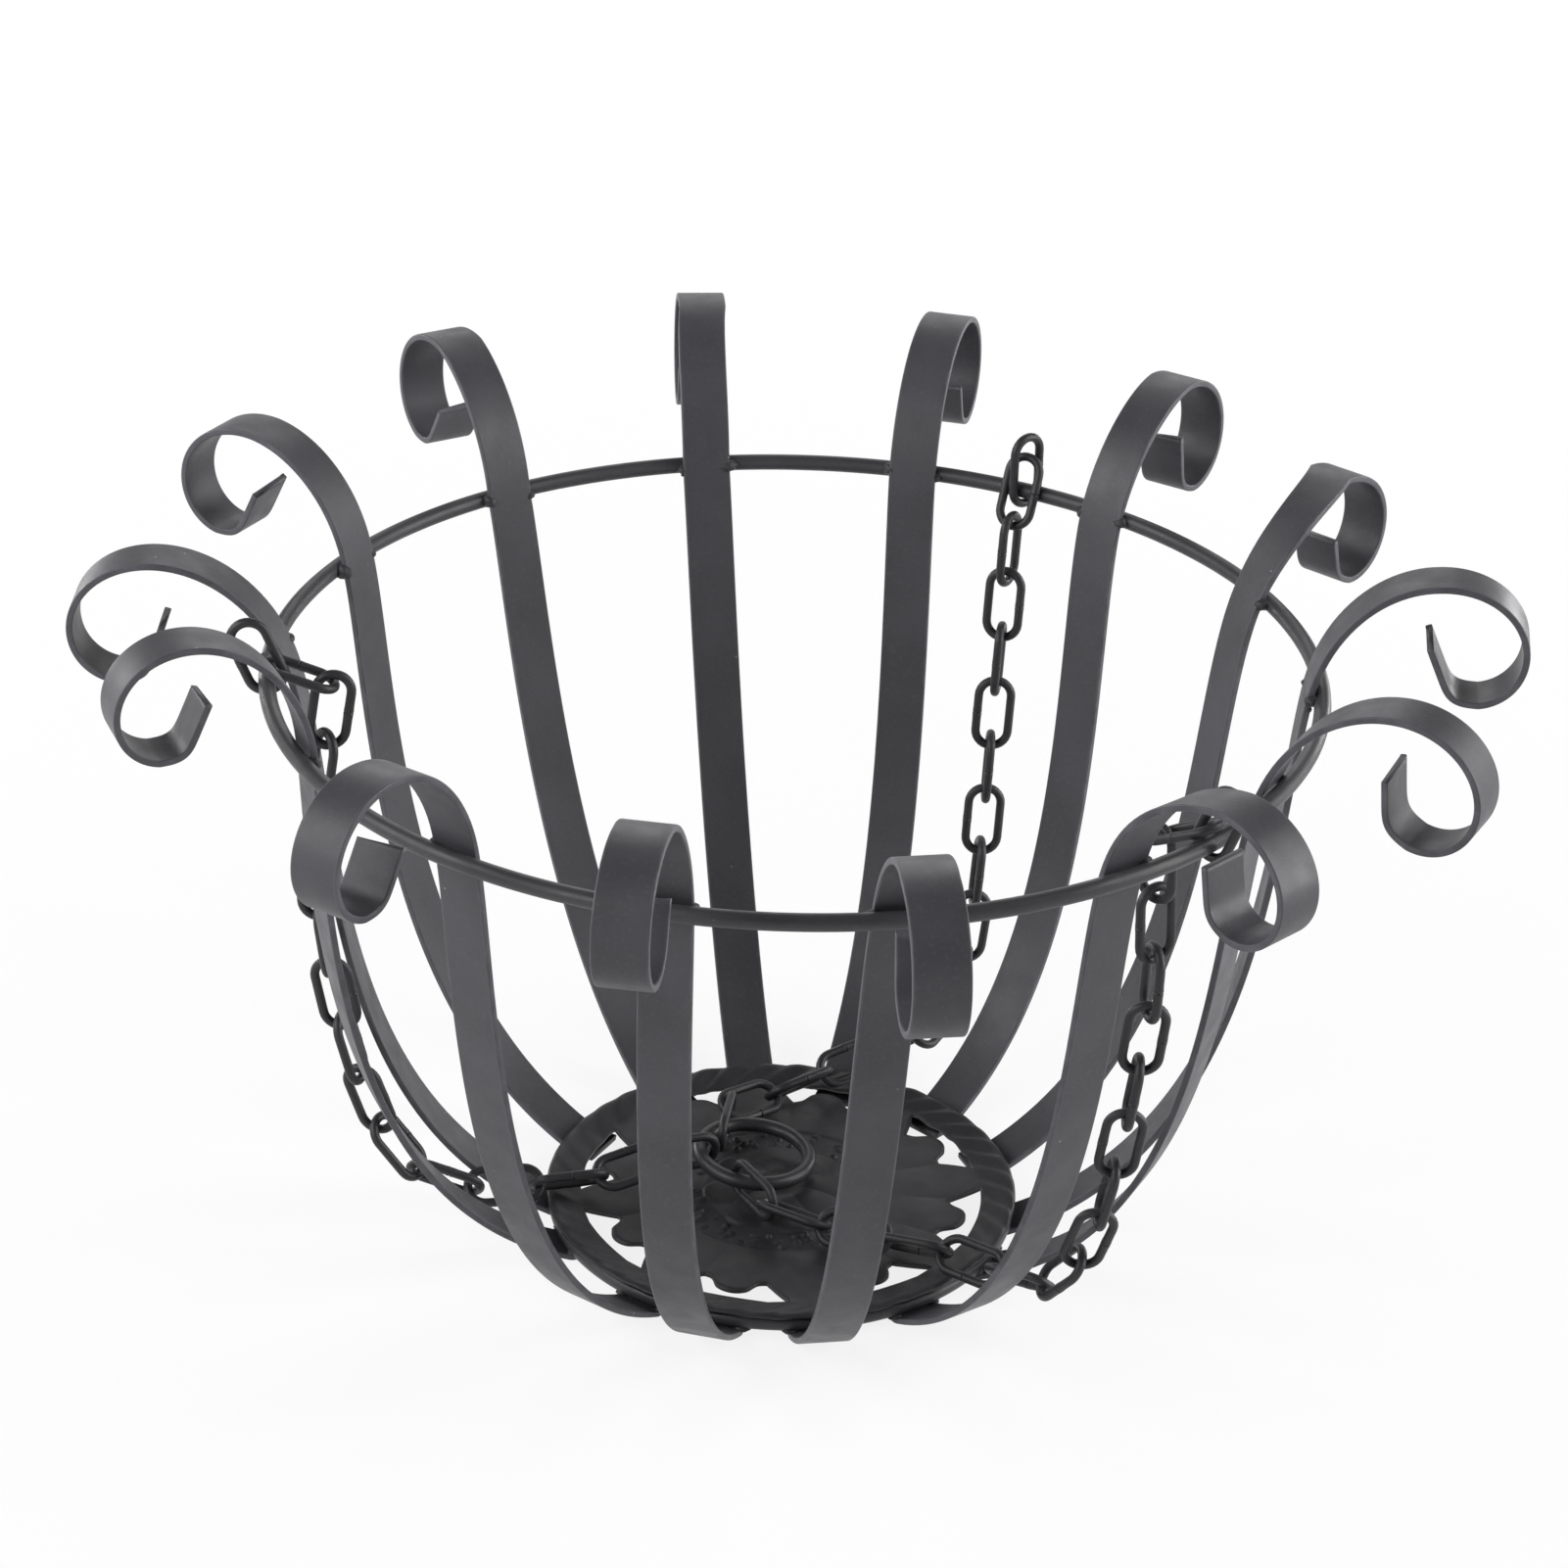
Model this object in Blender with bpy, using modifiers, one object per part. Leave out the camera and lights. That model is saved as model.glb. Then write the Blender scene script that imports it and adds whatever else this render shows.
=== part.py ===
"""Hanging flower basket, empty, with its chains laid down inside it.

Fourteen flat steel straps are welded inside a round rim wire and under a base hoop, and
each ends in a scroll outside the rim. A pressed rosette plate closes the base. Three
chains of round links hang from the rim, pass out between two straps, come back in over
the base hoop and meet in one hanging ring on the plate.

Metres, +Z up. The origin is on the floor under the middle of the base, and the front of
the basket faces -Y. Turns are degrees about +Z, counted from +X towards +Y.
"""

import math

import bmesh
import bpy
from mathutils import Matrix, Vector

# Clearances
seat_gap = 0.0003
link_gap = 0.0004
hanging_gap = 0.0009
lying_gap = 0.0007
cut_overrun = 0.004
merge_distance = 0.00001

# Rim
rim_outer_diameter = 0.310
rim_wire = 0.005
rim_height = 0.186

# Base hoop, which lies on the straps' feet
hoop_outer_diameter = 0.144
hoop_wire = 0.005

# Straps: foot, bowl and scroll
strap_count = 14
strap_width = 0.015
strap_thickness = 0.002
foot_reach = 0.0055
foot_slope = 24.0
rim_slope = 75.4
bowl_handle_shares = (0.41, 0.20)
scroll_start_radius = 0.059
scroll_end_radius = 0.0122
scroll_turn = 364.0
scroll_tightening = 74.0
twist_share = 0.2
first_strap_turn = 101.8

# Bent by hand, so no two straps are alike. Each row holds the turn off the even pattern,
# the scroll's size as a share, its outward lean, its twist, its extra curl and the foot's turn.
strap_shares = [
    (0.0, 1.08, -6.0, -7.0, -1.0, -3.5),
    (0.0, 1.03, -3.5, -0.5, -2.5, -1.5),
    (0.0, 1.02, 4.5, 6.5, 6.5, -3.0),
    (-1.5, 0.94, 8.0, 25.5, -9.0, 0.0),
    (-1.5, 1.01, -4.5, -4.0, 2.5, -1.5),
    (-1.0, 1.00, 4.0, 0.5, 4.0, 2.0),
    (-1.0, 0.96, 0.5, 8.5, 6.0, -1.0),
    (-0.5, 1.02, 6.5, -3.0, 2.0, -2.5),
    (1.5, 1.01, -5.5, 3.5, -0.5, -2.0),
    (3.0, 0.97, -4.5, 3.5, -10.5, 1.0),
    (0.0, 0.94, -10.0, -2.0, 6.0, -3.0),
    (0.5, 0.97, 9.5, 0.5, -7.5, 1.5),
    (1.0, 0.98, -4.0, -2.5, -1.0, -2.5),
    (0.5, 1.05, -5.5, -7.0, -6.0, -6.5),
]

# Rosette plate, a pressed sheet dished up at its border, which covers the hoop
plate_overhang = 0.0005
plate_thickness = 0.0012
crest_lift = 0.0042
border_width = 0.011
border_slope = 14.5
dome_radius = 0.018
dome_height = 0.0025
petal_count = 8
first_petal_turn = 98.5
# One cut-out between two petals: turn from its middle as a share of the petal pitch,
# radius as a share of the flat's radius
cutout_shares = [
    (-0.25, 0.845),
    (-0.18, 0.86),
    (-0.11, 0.92),
    (0.0, 0.945),
    (0.10, 0.92),
    (0.16, 0.86),
    (0.23, 0.84),
]
cutout_ends_share = 0.38
cutout_margin = 0.0004

# Chain links
link_length = 0.0252
link_width = 0.0132
link_wire = 0.0028
lying_touch = 0.0005

# Hanging ring
ring_outer_diameter = 0.0385
ring_wire = 0.0045
ring_tilt = 5.0
ring_lift = 0.0013
end_link_play = 0.0010
ring_centre_shares = (-0.118, 0.103)

# Hanging stretches of the chains: shares of the way from the hoop wire out to the rim
# wire, and of the rim's height
rear_hang_shares = [
    (0.834, 0.726),
    (0.797, 0.608),
    (0.749, 0.478),
    (0.706, 0.371),
    (0.645, 0.280),
    (0.579, 0.188),
    (0.495, 0.112),
    (0.375, 0.078),
    (0.250, 0.068),
    (0.130, 0.090),
]
right_hang_shares = [
    (0.809, 0.726),
    (0.772, 0.608),
    (0.720, 0.478),
    (0.670, 0.371),
    (0.602, 0.280),
    (0.525, 0.188),
    (0.425, 0.120),
    (0.315, 0.092),
    (0.220, 0.080),
    (0.118, 0.088),
]
left_hang_shares = [
    (0.850, 0.726),
    (0.835, 0.608),
    (0.790, 0.478),
    (0.725, 0.371),
    (0.650, 0.280),
    (0.570, 0.188),
    (0.465, 0.115),
    (0.345, 0.082),
    (0.230, 0.070),
    (0.120, 0.082),
]

# How much each of those points gives when the stretch bulges out to take up its links
bulge_shares = [0.05, 0.12, 0.25, 0.45, 0.65, 0.85, 1.0, 0.9, 0.5, 0.15]

# Each chain's place on the rim and where it comes in over the hoop, the slope of its
# second link over the rim wire, the rim link's lean and turn, the roll of the hanging
# links, its place on the ring, and its way over the plate as shares of the way from the
# hoop to its last link, along it and across it
chains = {
    "rear": {
        "hang_turn": 62.0,
        "base_turn": 62.0,
        "saddle_slope": 65.0,
        "saddle_perch_share": 0.2,
        "rim_link_lean": 0.0,
        "rim_link_turn": 22.0,
        "hang_roll": 62.0,
        "hang_shares": rear_hang_shares,
        "ring_turn": 124.0,
        "pull_turn": 83.0,
        "ring_slack_share": 0.16,
        "lying_shares": [(0.03, -0.126), (0.25, -0.125), (0.59, -0.10), (0.82, -0.08)],
    },
    "right": {
        "hang_turn": -42.0,
        "base_turn": -42.0,
        "saddle_slope": 28.0,
        "saddle_perch_share": 0.5,
        "rim_link_lean": 22.0,
        "rim_link_turn": 0.0,
        "hang_roll": -42.0,
        "hang_shares": right_hang_shares,
        "ring_turn": 262.0,
        "pull_turn": 303.0,
        "ring_slack_share": 0.09,
        "lying_shares": [(-0.05, -0.004), (0.22, -0.016), (0.50, -0.004), (0.73, 0.02)],
    },
    "left": {
        "hang_turn": -174.0,
        "base_turn": -168.5,
        "saddle_slope": 22.0,
        "saddle_perch_share": 0.5,
        "rim_link_lean": 22.0,
        "rim_link_turn": 0.0,
        "hang_roll": 9.5,
        "hang_shares": left_hang_shares,
        "ring_turn": 185.0,
        "pull_turn": 205.0,
        "ring_slack_share": 0.05,
        "lying_shares": [(0.0, 0.02), (0.35, 0.016), (0.71, -0.015)],
    },
}

lying_roll = 45.0
end_roll = 5.0
near_end_roll = 62.0
upright_roll = 90.0
first_hanging_link = 3
settled_link = 6
first_rolling_link = 7
last_rolling_link = 13
single_links = 12
hanging_spans = 10

# Facets
rim_segments = 70
hoop_segments = 40
ring_segments = 28
wire_sides = 8
foot_arc_steps = 2
bowl_steps = 11
scroll_steps = 19
scroll_substeps = 12
plate_segments = 40
cutout_edge_steps = 8
dome_steps = 3
bight_steps = 5
link_sides_resolution = 1
route_steps = 40
ease_steps = 12
ease_reach = 9
bisections = 40

# Derived sizes
rim_radius = rim_outer_diameter / 2 - rim_wire / 2
hoop_radius = hoop_outer_diameter / 2 - hoop_wire / 2
hoop_height = strap_thickness + seat_gap + hoop_wire / 2
plate_radius = hoop_outer_diameter / 2 + plate_overhang
flat_radius = plate_radius - border_width * math.cos(math.radians(border_slope))
border_rise = math.tan(math.radians(border_slope))
plate_bottom = (hoop_height
                + (hoop_wire / 2 + seat_gap) / math.cos(math.radians(border_slope))
                - (hoop_radius - flat_radius) * border_rise)
plate_top = plate_bottom + plate_thickness
ring_radius = ring_outer_diameter / 2 - ring_wire / 2
ring_height = plate_top + dome_height + seat_gap + ring_wire / 2 + ring_lift
bight_radius = link_width / 2 - link_wire / 2
link_leg = link_length / 2 - link_width / 2
link_reach = link_length / 2 - link_wire / 2
link_pitch = link_length - 2 * link_wire - link_gap
hanging_pitch = link_length - 2 * link_wire - hanging_gap
tight_pitch = link_length - 2 * link_wire + lying_touch
entry_pitch = (hanging_pitch + tight_pitch) / 2
lying_height = (plate_top + lying_gap + link_wire / 2
                + bight_radius * math.sin(math.radians(lying_roll)))

up = Vector((0, 0, 1))


def outward(turn):
    """The level unit vector at a turn about +Z."""
    angle = math.radians(turn)
    return Vector((math.cos(angle), math.sin(angle), 0))


def sideways(turn):
    """The level unit vector along the rim, clockwise from above."""
    angle = math.radians(turn)
    return Vector((math.sin(angle), -math.cos(angle), 0))


def clear_scene():
    """Remove what the scene holds."""
    for item in list(bpy.data.objects):
        bpy.data.objects.remove(item, do_unlink=True)


def make_collection(name):
    """A new collection under the scene's own."""
    collection = bpy.data.collections.new(name)
    bpy.context.scene.collection.children.link(collection)
    return collection


def make_material(name, colour, roughness, metallic):
    """A painted or bare metal surface."""
    material = bpy.data.materials.new(name)
    material.use_nodes = True
    shader = material.node_tree.nodes["Principled BSDF"]
    shader.inputs["Base Color"].default_value = (*colour, 1)
    shader.inputs["Roughness"].default_value = roughness
    shader.inputs["Metallic"].default_value = metallic
    material.diffuse_color = (*colour, 1)
    return material


def place(item, collection, material):
    """Put an object in a collection with its material."""
    for other in list(item.users_collection):
        other.objects.unlink(item)
    collection.objects.link(item)
    if not item.data.materials:
        item.data.materials.append(material)


def wire_ring(name, radius, wire, segments, collection, material):
    """A closed ring of round wire, flat about its own origin."""
    bpy.ops.mesh.primitive_torus_add(
        major_segments=segments, minor_segments=wire_sides, major_radius=radius,
        minor_radius=wire / 2)
    ring = bpy.context.object
    ring.name = name
    ring.data.shade_smooth()
    place(ring, collection, material)
    return ring


def bezier(a, b, c, d, share):
    """A point on a cubic curve from a to d."""
    rest = 1 - share
    return (rest ** 3 * a + 3 * rest ** 2 * share * b
            + 3 * rest * share ** 2 * c + share ** 3 * d)


def rim_crossing(slope):
    """Where a strap of this slope passes inside the rim wire, as (radius, height)."""
    half = strap_width / 2
    sag = rim_radius - math.sqrt(rim_radius ** 2 - half ** 2)
    seat = rim_wire / 2 + seat_gap + strap_thickness / 2 + sag
    angle = math.radians(slope)
    return Vector((rim_radius - seat * math.sin(angle), rim_height + seat * math.cos(angle)))


def foot_points():
    """The strap's flat end under the hoop and its bend round the hoop wire."""
    seat = hoop_wire / 2 + seat_gap + strap_thickness / 2
    points = [Vector((hoop_radius - foot_reach, strap_thickness / 2))]
    for step in range(foot_arc_steps + 1):
        angle = math.radians(foot_slope * step / foot_arc_steps)
        points.append(Vector((hoop_radius + seat * math.sin(angle),
                              hoop_height - seat * math.cos(angle))))
    return points


def bowl_points(start, end, slope):
    """The strap's sweep from the hoop up to the rim, without its first point."""
    reach = (end - start).length
    leave = math.radians(foot_slope)
    arrive = math.radians(slope)
    first = start + bowl_handle_shares[0] * reach * Vector((math.cos(leave), math.sin(leave)))
    second = end - bowl_handle_shares[1] * reach * Vector((math.cos(arrive), math.sin(arrive)))
    return [bezier(start, first, second, end, (step + 1) / bowl_steps)
            for step in range(bowl_steps)]


def scroll_points(start, slope, size_share, extra_curl):
    """The scroll outside the rim, which tightens as it curls, without its first point."""
    turn = math.radians(scroll_turn + extra_curl)
    tightening = math.radians(scroll_tightening)
    fine_steps = scroll_steps * scroll_substeps
    point = start.copy()
    points = []
    for step in range(fine_steps):
        turned = turn * (step + 0.5) / fine_steps
        radius = size_share * (scroll_end_radius + (scroll_start_radius - scroll_end_radius)
                               * math.exp(-turned / tightening))
        heading = math.radians(slope) - turned
        point = point + radius * turn / fine_steps * Vector((math.cos(heading),
                                                             math.sin(heading)))
        if (step + 1) % scroll_substeps == 0:
            points.append(point.copy())
    return points


def strap_rungs(size_share, lean, twist, extra_curl, foot_turn):
    """Pairs of a middle point and the direction across the strap, from foot to scroll end."""
    slope = rim_slope - lean
    crossing = rim_crossing(slope)
    foot = foot_points()
    bowl = bowl_points(foot[-1], crossing, slope)
    rungs = []
    for point in foot + bowl:
        turn = foot_turn * (1 - min(point.y / crossing.y, 1))
        swing = Matrix.Rotation(math.radians(turn), 3, "Z")
        rungs.append((swing @ Vector((point.x, 0, point.y)), swing @ Vector((0, 1, 0))))
    scroll = scroll_points(crossing, slope, size_share, extra_curl)
    for step, point in enumerate(scroll):
        turn = twist * min((step + 1) / scroll_steps / twist_share, 1)
        swing = Matrix.Rotation(math.radians(turn), 3, "Z")
        offset = swing @ Vector((point.x - crossing.x, 0, point.y - crossing.y))
        rungs.append((Vector((crossing.x, 0, crossing.y)) + offset, swing @ Vector((0, 1, 0))))
    return rungs


def make_strap(name, turn, shape, collection, material):
    """One strap: an open band along its path, thickened both ways."""
    rungs = strap_rungs(*shape)
    half = strap_width / 2
    band = bmesh.new()
    side = [band.verts.new(middle - half * across) for middle, across in rungs]
    edges = [band.edges.new(pair) for pair in zip(side, side[1:])]
    grown = bmesh.ops.extrude_edge_only(band, edges=edges)
    far_side = [item for item in grown["geom"] if isinstance(item, bmesh.types.BMVert)]
    for vertex in far_side:
        nearest = min(rungs, key=lambda rung: (rung[0] - half * rung[1] - vertex.co).length)
        vertex.co += strap_width * nearest[1]
    mesh = bpy.data.meshes.new(name)
    band.to_mesh(mesh)
    band.free()
    strap = bpy.data.objects.new(name, mesh)
    strap.rotation_euler.z = math.radians(turn)
    thicken = strap.modifiers.new("sheet", "SOLIDIFY")
    thicken.thickness = strap_thickness
    thicken.offset = 0
    thicken.use_even_offset = True
    place(strap, collection, material)
    return strap


def cutout_outline():
    """One gap between two petals, as level points about the plate's middle."""
    pitch = 360 / petal_count
    edge = flat_radius - cutout_margin
    outline = [edge * outward(pitch * cutout_ends_share * (1 - 2 * step / cutout_edge_steps))
               for step in range(cutout_edge_steps + 1)]
    outline += [flat_radius * radius * outward(pitch * share) for share, radius in cutout_shares]
    return outline


def make_cutters(collection):
    """The cutters of the plate's gaps, one between each two petals."""
    curve = bpy.data.curves.new("petal gap", "CURVE")
    curve.dimensions = "2D"
    curve.fill_mode = "BOTH"
    curve.extrude = plate_thickness + cut_overrun
    outline = cutout_outline()
    spline = curve.splines.new("POLY")
    spline.points.add(len(outline) - 1)
    for knot, point in zip(spline.points, outline):
        knot.co = (point.x, point.y, 0, 1)
    spline.use_cyclic_u = True
    guide = bpy.data.objects.new("petal gap guide", curve)
    collection.objects.link(guide)
    bpy.context.view_layer.update()
    graph = bpy.context.evaluated_depsgraph_get()
    mesh = bpy.data.meshes.new_from_object(guide.evaluated_get(graph))
    bpy.data.objects.remove(guide, do_unlink=True)
    solid = bmesh.new()
    solid.from_mesh(mesh)
    bmesh.ops.remove_doubles(solid, verts=solid.verts, dist=merge_distance)
    bmesh.ops.recalc_face_normals(solid, faces=solid.faces)
    solid.to_mesh(mesh)
    solid.free()
    for index in range(petal_count):
        cutter = bpy.data.objects.new(f"petal gap {index + 1}", mesh)
        cutter.location.z = plate_top
        turn = first_petal_turn + (index + 0.5) * 360 / petal_count
        cutter.rotation_euler.z = math.radians(turn)
        cutter.hide_render = True
        cutter.display_type = "WIRE"
        collection.objects.link(cutter)


def plate_profile():
    """Half of the plate's middle surface, from its outer edge to its middle."""
    middle = plate_bottom + plate_thickness / 2
    points = [Vector((plate_radius, 0, middle + (plate_radius - flat_radius) * border_rise)),
              Vector((flat_radius, 0, middle)),
              Vector((dome_radius, 0, middle))]
    for step in range(1, dome_steps + 1):
        angle = math.pi / 2 * step / dome_steps
        points.append(Vector((dome_radius * math.cos(angle), 0,
                              middle + dome_height * math.sin(angle))))
    points[-1].x = 0
    return points


def make_plate(collection, cutters, material):
    """The rosette plate: a turned profile, thickened, with the gaps between its petals cut."""
    line = bmesh.new()
    knots = [line.verts.new(point) for point in plate_profile()]
    for pair in zip(knots, knots[1:]):
        line.edges.new(pair)
    mesh = bpy.data.meshes.new("rosette_plate")
    line.to_mesh(mesh)
    line.free()
    plate = bpy.data.objects.new("rosette_plate", mesh)
    turned = plate.modifiers.new("turn", "SCREW")
    turned.axis = "Z"
    turned.steps = plate_segments
    turned.render_steps = plate_segments
    turned.use_merge_vertices = True
    turned.merge_threshold = merge_distance
    thicken = plate.modifiers.new("sheet", "SOLIDIFY")
    thicken.thickness = plate_thickness
    thicken.offset = 0
    cut = plate.modifiers.new("petal gaps", "BOOLEAN")
    cut.operation = "DIFFERENCE"
    cut.operand_type = "COLLECTION"
    cut.collection = cutters
    cut.solver = "EXACT"
    place(plate, collection, material)
    return plate


def link_loop():
    """One link's centre line about its middle: long axis Z, flat in XZ."""
    loop = []
    for end in (1, -1):
        for step in range(bight_steps + 1):
            angle = math.pi * step / bight_steps
            loop.append(Vector((end * bight_radius * math.cos(angle), 0,
                                end * (link_leg + bight_radius * math.sin(angle)))))
    return loop


def make_link(name, frame, origin, collection, material):
    """One link, with its own origin at a given frame."""
    curve = bpy.data.curves.new(name, "CURVE")
    curve.dimensions = "3D"
    curve.bevel_depth = link_wire / 2
    curve.bevel_resolution = link_sides_resolution
    spline = curve.splines.new("POLY")
    loop = [origin.inverted() @ frame @ point for point in link_loop()]
    spline.points.add(len(loop) - 1)
    for knot, point in zip(spline.points, loop):
        knot.co = (*point, 1)
    spline.use_cyclic_u = True
    link = bpy.data.objects.new(name, curve)
    link.matrix_world = origin
    place(link, collection, material)
    return link


def fuse_links(name, frames, collection, material):
    """Links that the paint holds together where they touch, as one object."""
    fused = None
    for frame in frames:
        link = make_link(f"{name} {len(collection.objects)}", frame, frame, collection, material)
        bpy.context.view_layer.update()
        graph = bpy.context.evaluated_depsgraph_get()
        mesh = bpy.data.meshes.new_from_object(link.evaluated_get(graph))
        solid = bpy.data.objects.new(link.name + " solid", mesh)
        solid.matrix_world = link.matrix_world
        bpy.data.objects.remove(link, do_unlink=True)
        collection.objects.link(solid)
        if fused is None:
            fused = solid
            fused.name = name
            continue
        join = fused.modifiers.new("touch", "BOOLEAN")
        join.operation = "UNION"
        join.object = solid
        join.solver = "EXACT"
        bpy.context.view_layer.update()
        graph = bpy.context.evaluated_depsgraph_get()
        joined = bpy.data.meshes.new_from_object(fused.evaluated_get(graph))
        fused.modifiers.clear()
        fused.data = joined
        bpy.data.objects.remove(solid, do_unlink=True)
    place(fused, collection, material)
    return fused


def link_frame(middle, along, normal):
    """A link's matrix from its middle, its long axis and its plane's normal."""
    along = along.normalized()
    normal = (normal - normal.dot(along) * along).normalized()
    width = normal.cross(along)
    turn = Matrix((width, normal, along)).transposed()
    return Matrix.Translation(middle) @ turn.to_4x4()


def smooth_route(points):
    """Points close together on a smooth curve through all the given ones."""
    ends = [2 * points[0] - points[1], *points, 2 * points[-1] - points[-2]]
    route = []
    for a, b, c, d in zip(ends, ends[1:], ends[2:], ends[3:]):
        for step in range(route_steps):
            share = step / route_steps
            route.append(0.5 * (2 * b + (c - a) * share + (2 * a - 5 * b + 4 * c - d) * share ** 2
                                + (3 * b - a - 3 * c + d) * share ** 3))
    route.append(points[-1])
    return route


def eased_route(route):
    """The route in short even steps, each point at the mean of the stretch around it."""
    step = link_length / ease_steps
    points = [route[0]]
    ahead = step
    for near, far in zip(route, route[1:]):
        span = (far - near).length
        while ahead <= span:
            points.append(near + ahead / span * (far - near))
            ahead += step
        ahead -= span
    points.append(route[-1])
    eased = []
    for index in range(len(points)):
        reach = min(ease_reach, index, len(points) - 1 - index)
        around = points[index - reach:index + reach + 1]
        eased.append(sum(around, Vector()) / len(around))
    return eased


def cut_route(route, pitch):
    """The route from the point that lies one chord away from its start, or None."""
    here = route[0]
    for index, point in enumerate(route):
        if (point - here).length >= pitch:
            near = route[index - 1]
            far = point
            for _ in range(bisections):
                middle = (near + far) / 2
                if (middle - here).length < pitch:
                    near = middle
                else:
                    far = middle
            return [far, *route[index:]]
    return None


def walk(route, pitch, count):
    """The ends of some equal chords along a route, and the route that is left."""
    joints = [route[0]]
    for _ in range(count):
        route = cut_route(route, pitch)
        if route is None:
            return joints, None
        joints.append(route[0])
    return joints, route


def walk_spans(route, inner_count):
    """The joints along a route, with the lying stretch's inner links pulled tight."""
    joints = [route[0]]
    for pitch, count in ((hanging_pitch, hanging_spans), (entry_pitch, 1),
                         (tight_pitch, inner_count), (hanging_pitch, 1)):
        if route is None:
            return joints, None
        more, route = walk(route, pitch, count)
        joints += more[1:]
    return joints, route


def chain_joints(plan, start, last_stop):
    """Where the links meet, the hanging stretch bulged out as far as its links need."""
    inner_count = 0
    route = chain_route(plan, start, last_stop, 0)
    while walk_spans(route, inner_count)[1] is not None:
        inner_count += 1
    near = 0
    far = link_length
    for _ in range(bisections):
        bulge = (near + far) / 2
        route = chain_route(plan, start, last_stop, bulge)
        if walk_spans(route, inner_count)[1] is None:
            near = bulge
        else:
            far = bulge
    route = chain_route(plan, start, last_stop, far)
    joints = walk_spans(route, inner_count)[0]
    joints[-1] = route[-1]
    return joints


def ring_frame():
    """The hanging ring's matrix, its side with the chains raised a little."""
    middle = Vector((ring_centre_shares[0] * plate_radius, ring_centre_shares[1] * plate_radius,
                     ring_height + ring_radius * math.sin(math.radians(ring_tilt))))
    return Matrix.Translation(middle) @ Matrix.Rotation(math.radians(ring_tilt), 4, "Y")


def rim_link_frame(plan):
    """The link threaded on the rim wire, which stands up on it."""
    turn = plan["hang_turn"]
    seat = rim_wire / 2 + link_wire / 2 + seat_gap
    lean = Matrix.Rotation(math.radians(-plan["rim_link_lean"]), 3, sideways(turn))
    spin = Matrix.Rotation(math.radians(-plan["rim_link_turn"]), 3, "Z")
    along = lean @ up
    normal = spin @ sideways(turn)
    wire = rim_radius * outward(turn) + rim_height * up
    return link_frame(wire + (link_reach - seat) * along, along, normal)


def saddle_link_frame(plan):
    """The second link, which leans on the rim wire and slopes down into the bowl."""
    turn = plan["hang_turn"]
    slope = math.radians(plan["saddle_slope"])
    seat = rim_wire / 2 + link_wire / 2 + link_gap
    along = -math.cos(slope) * outward(turn) - math.sin(slope) * up
    lift = -math.sin(slope) * outward(turn) + math.cos(slope) * up
    wire = rim_radius * outward(turn) + rim_height * up
    perch = plan["saddle_perch_share"] * link_wire
    back = (perch + seat * math.sin(slope)) / math.cos(slope)
    apex = wire + seat * lift - back * along
    normal = lift
    return link_frame(apex + link_reach * along, along, normal)


def end_link_line(plan):
    """The last link's middle, round the ring's wire, and its long axis away from the ring."""
    ring = ring_frame()
    wire = ring @ (ring_radius * outward(plan["ring_turn"]))
    away = (ring.to_3x3() @ outward(plan["pull_turn"])).normalized()
    seat = ring_wire / 2 + link_wire / 2 + link_gap
    slack = plan["ring_slack_share"] * link_length
    return wire + (link_reach - seat - slack) * away, away


def lying_point(x, y):
    """A point of a chain's middle line over the plate, higher where the border rises."""
    share = max(math.hypot(x, y) - flat_radius, 0) / (plate_radius - flat_radius)
    crest = (plate_radius - flat_radius) * border_rise + crest_lift
    return Vector((x, y, lying_height + share * crest))


def chain_route(plan, start, last_stop, bulge):
    """A chain's middle line from its second link to its last one."""
    stops = [start]
    for (out_share, height_share), give in zip(plan["hang_shares"], bulge_shares):
        turn = plan["base_turn"] + out_share * (plan["hang_turn"] - plan["base_turn"])
        radius = hoop_radius + out_share * (rim_radius - hoop_radius) + give * bulge
        stops.append(radius * outward(turn) + height_share * rim_height * up)
    entry = hoop_radius * outward(plan["base_turn"])
    way = last_stop - entry
    for along, across in plan["lying_shares"]:
        stops.append(lying_point(entry.x + along * way.x - across * way.y,
                                 entry.y + along * way.y + across * way.x))
    stops.append(last_stop)
    return eased_route(smooth_route(stops))


def link_roll(number, last, hang_roll):
    """A link's roll about its own axis: settled by the rim, then free, then lying."""
    side = math.copysign(1, hang_roll)
    if number <= settled_link:
        share = (number - first_hanging_link) / (settled_link - first_hanging_link)
        roll = side * upright_roll * (1 - share) + hang_roll * share
    else:
        share = (number - first_rolling_link) / (last_rolling_link - first_rolling_link)
        share = min(max(share, 0), 1)
        roll = hang_roll * (1 - share) + side * lying_roll * share
    if number >= last - 1:
        tilt = end_roll if number == last else near_end_roll
        roll = side * (tilt if number % 2 == 0 else upright_roll - tilt)
    if number % 2:
        roll -= side * upright_roll
    return roll


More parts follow.
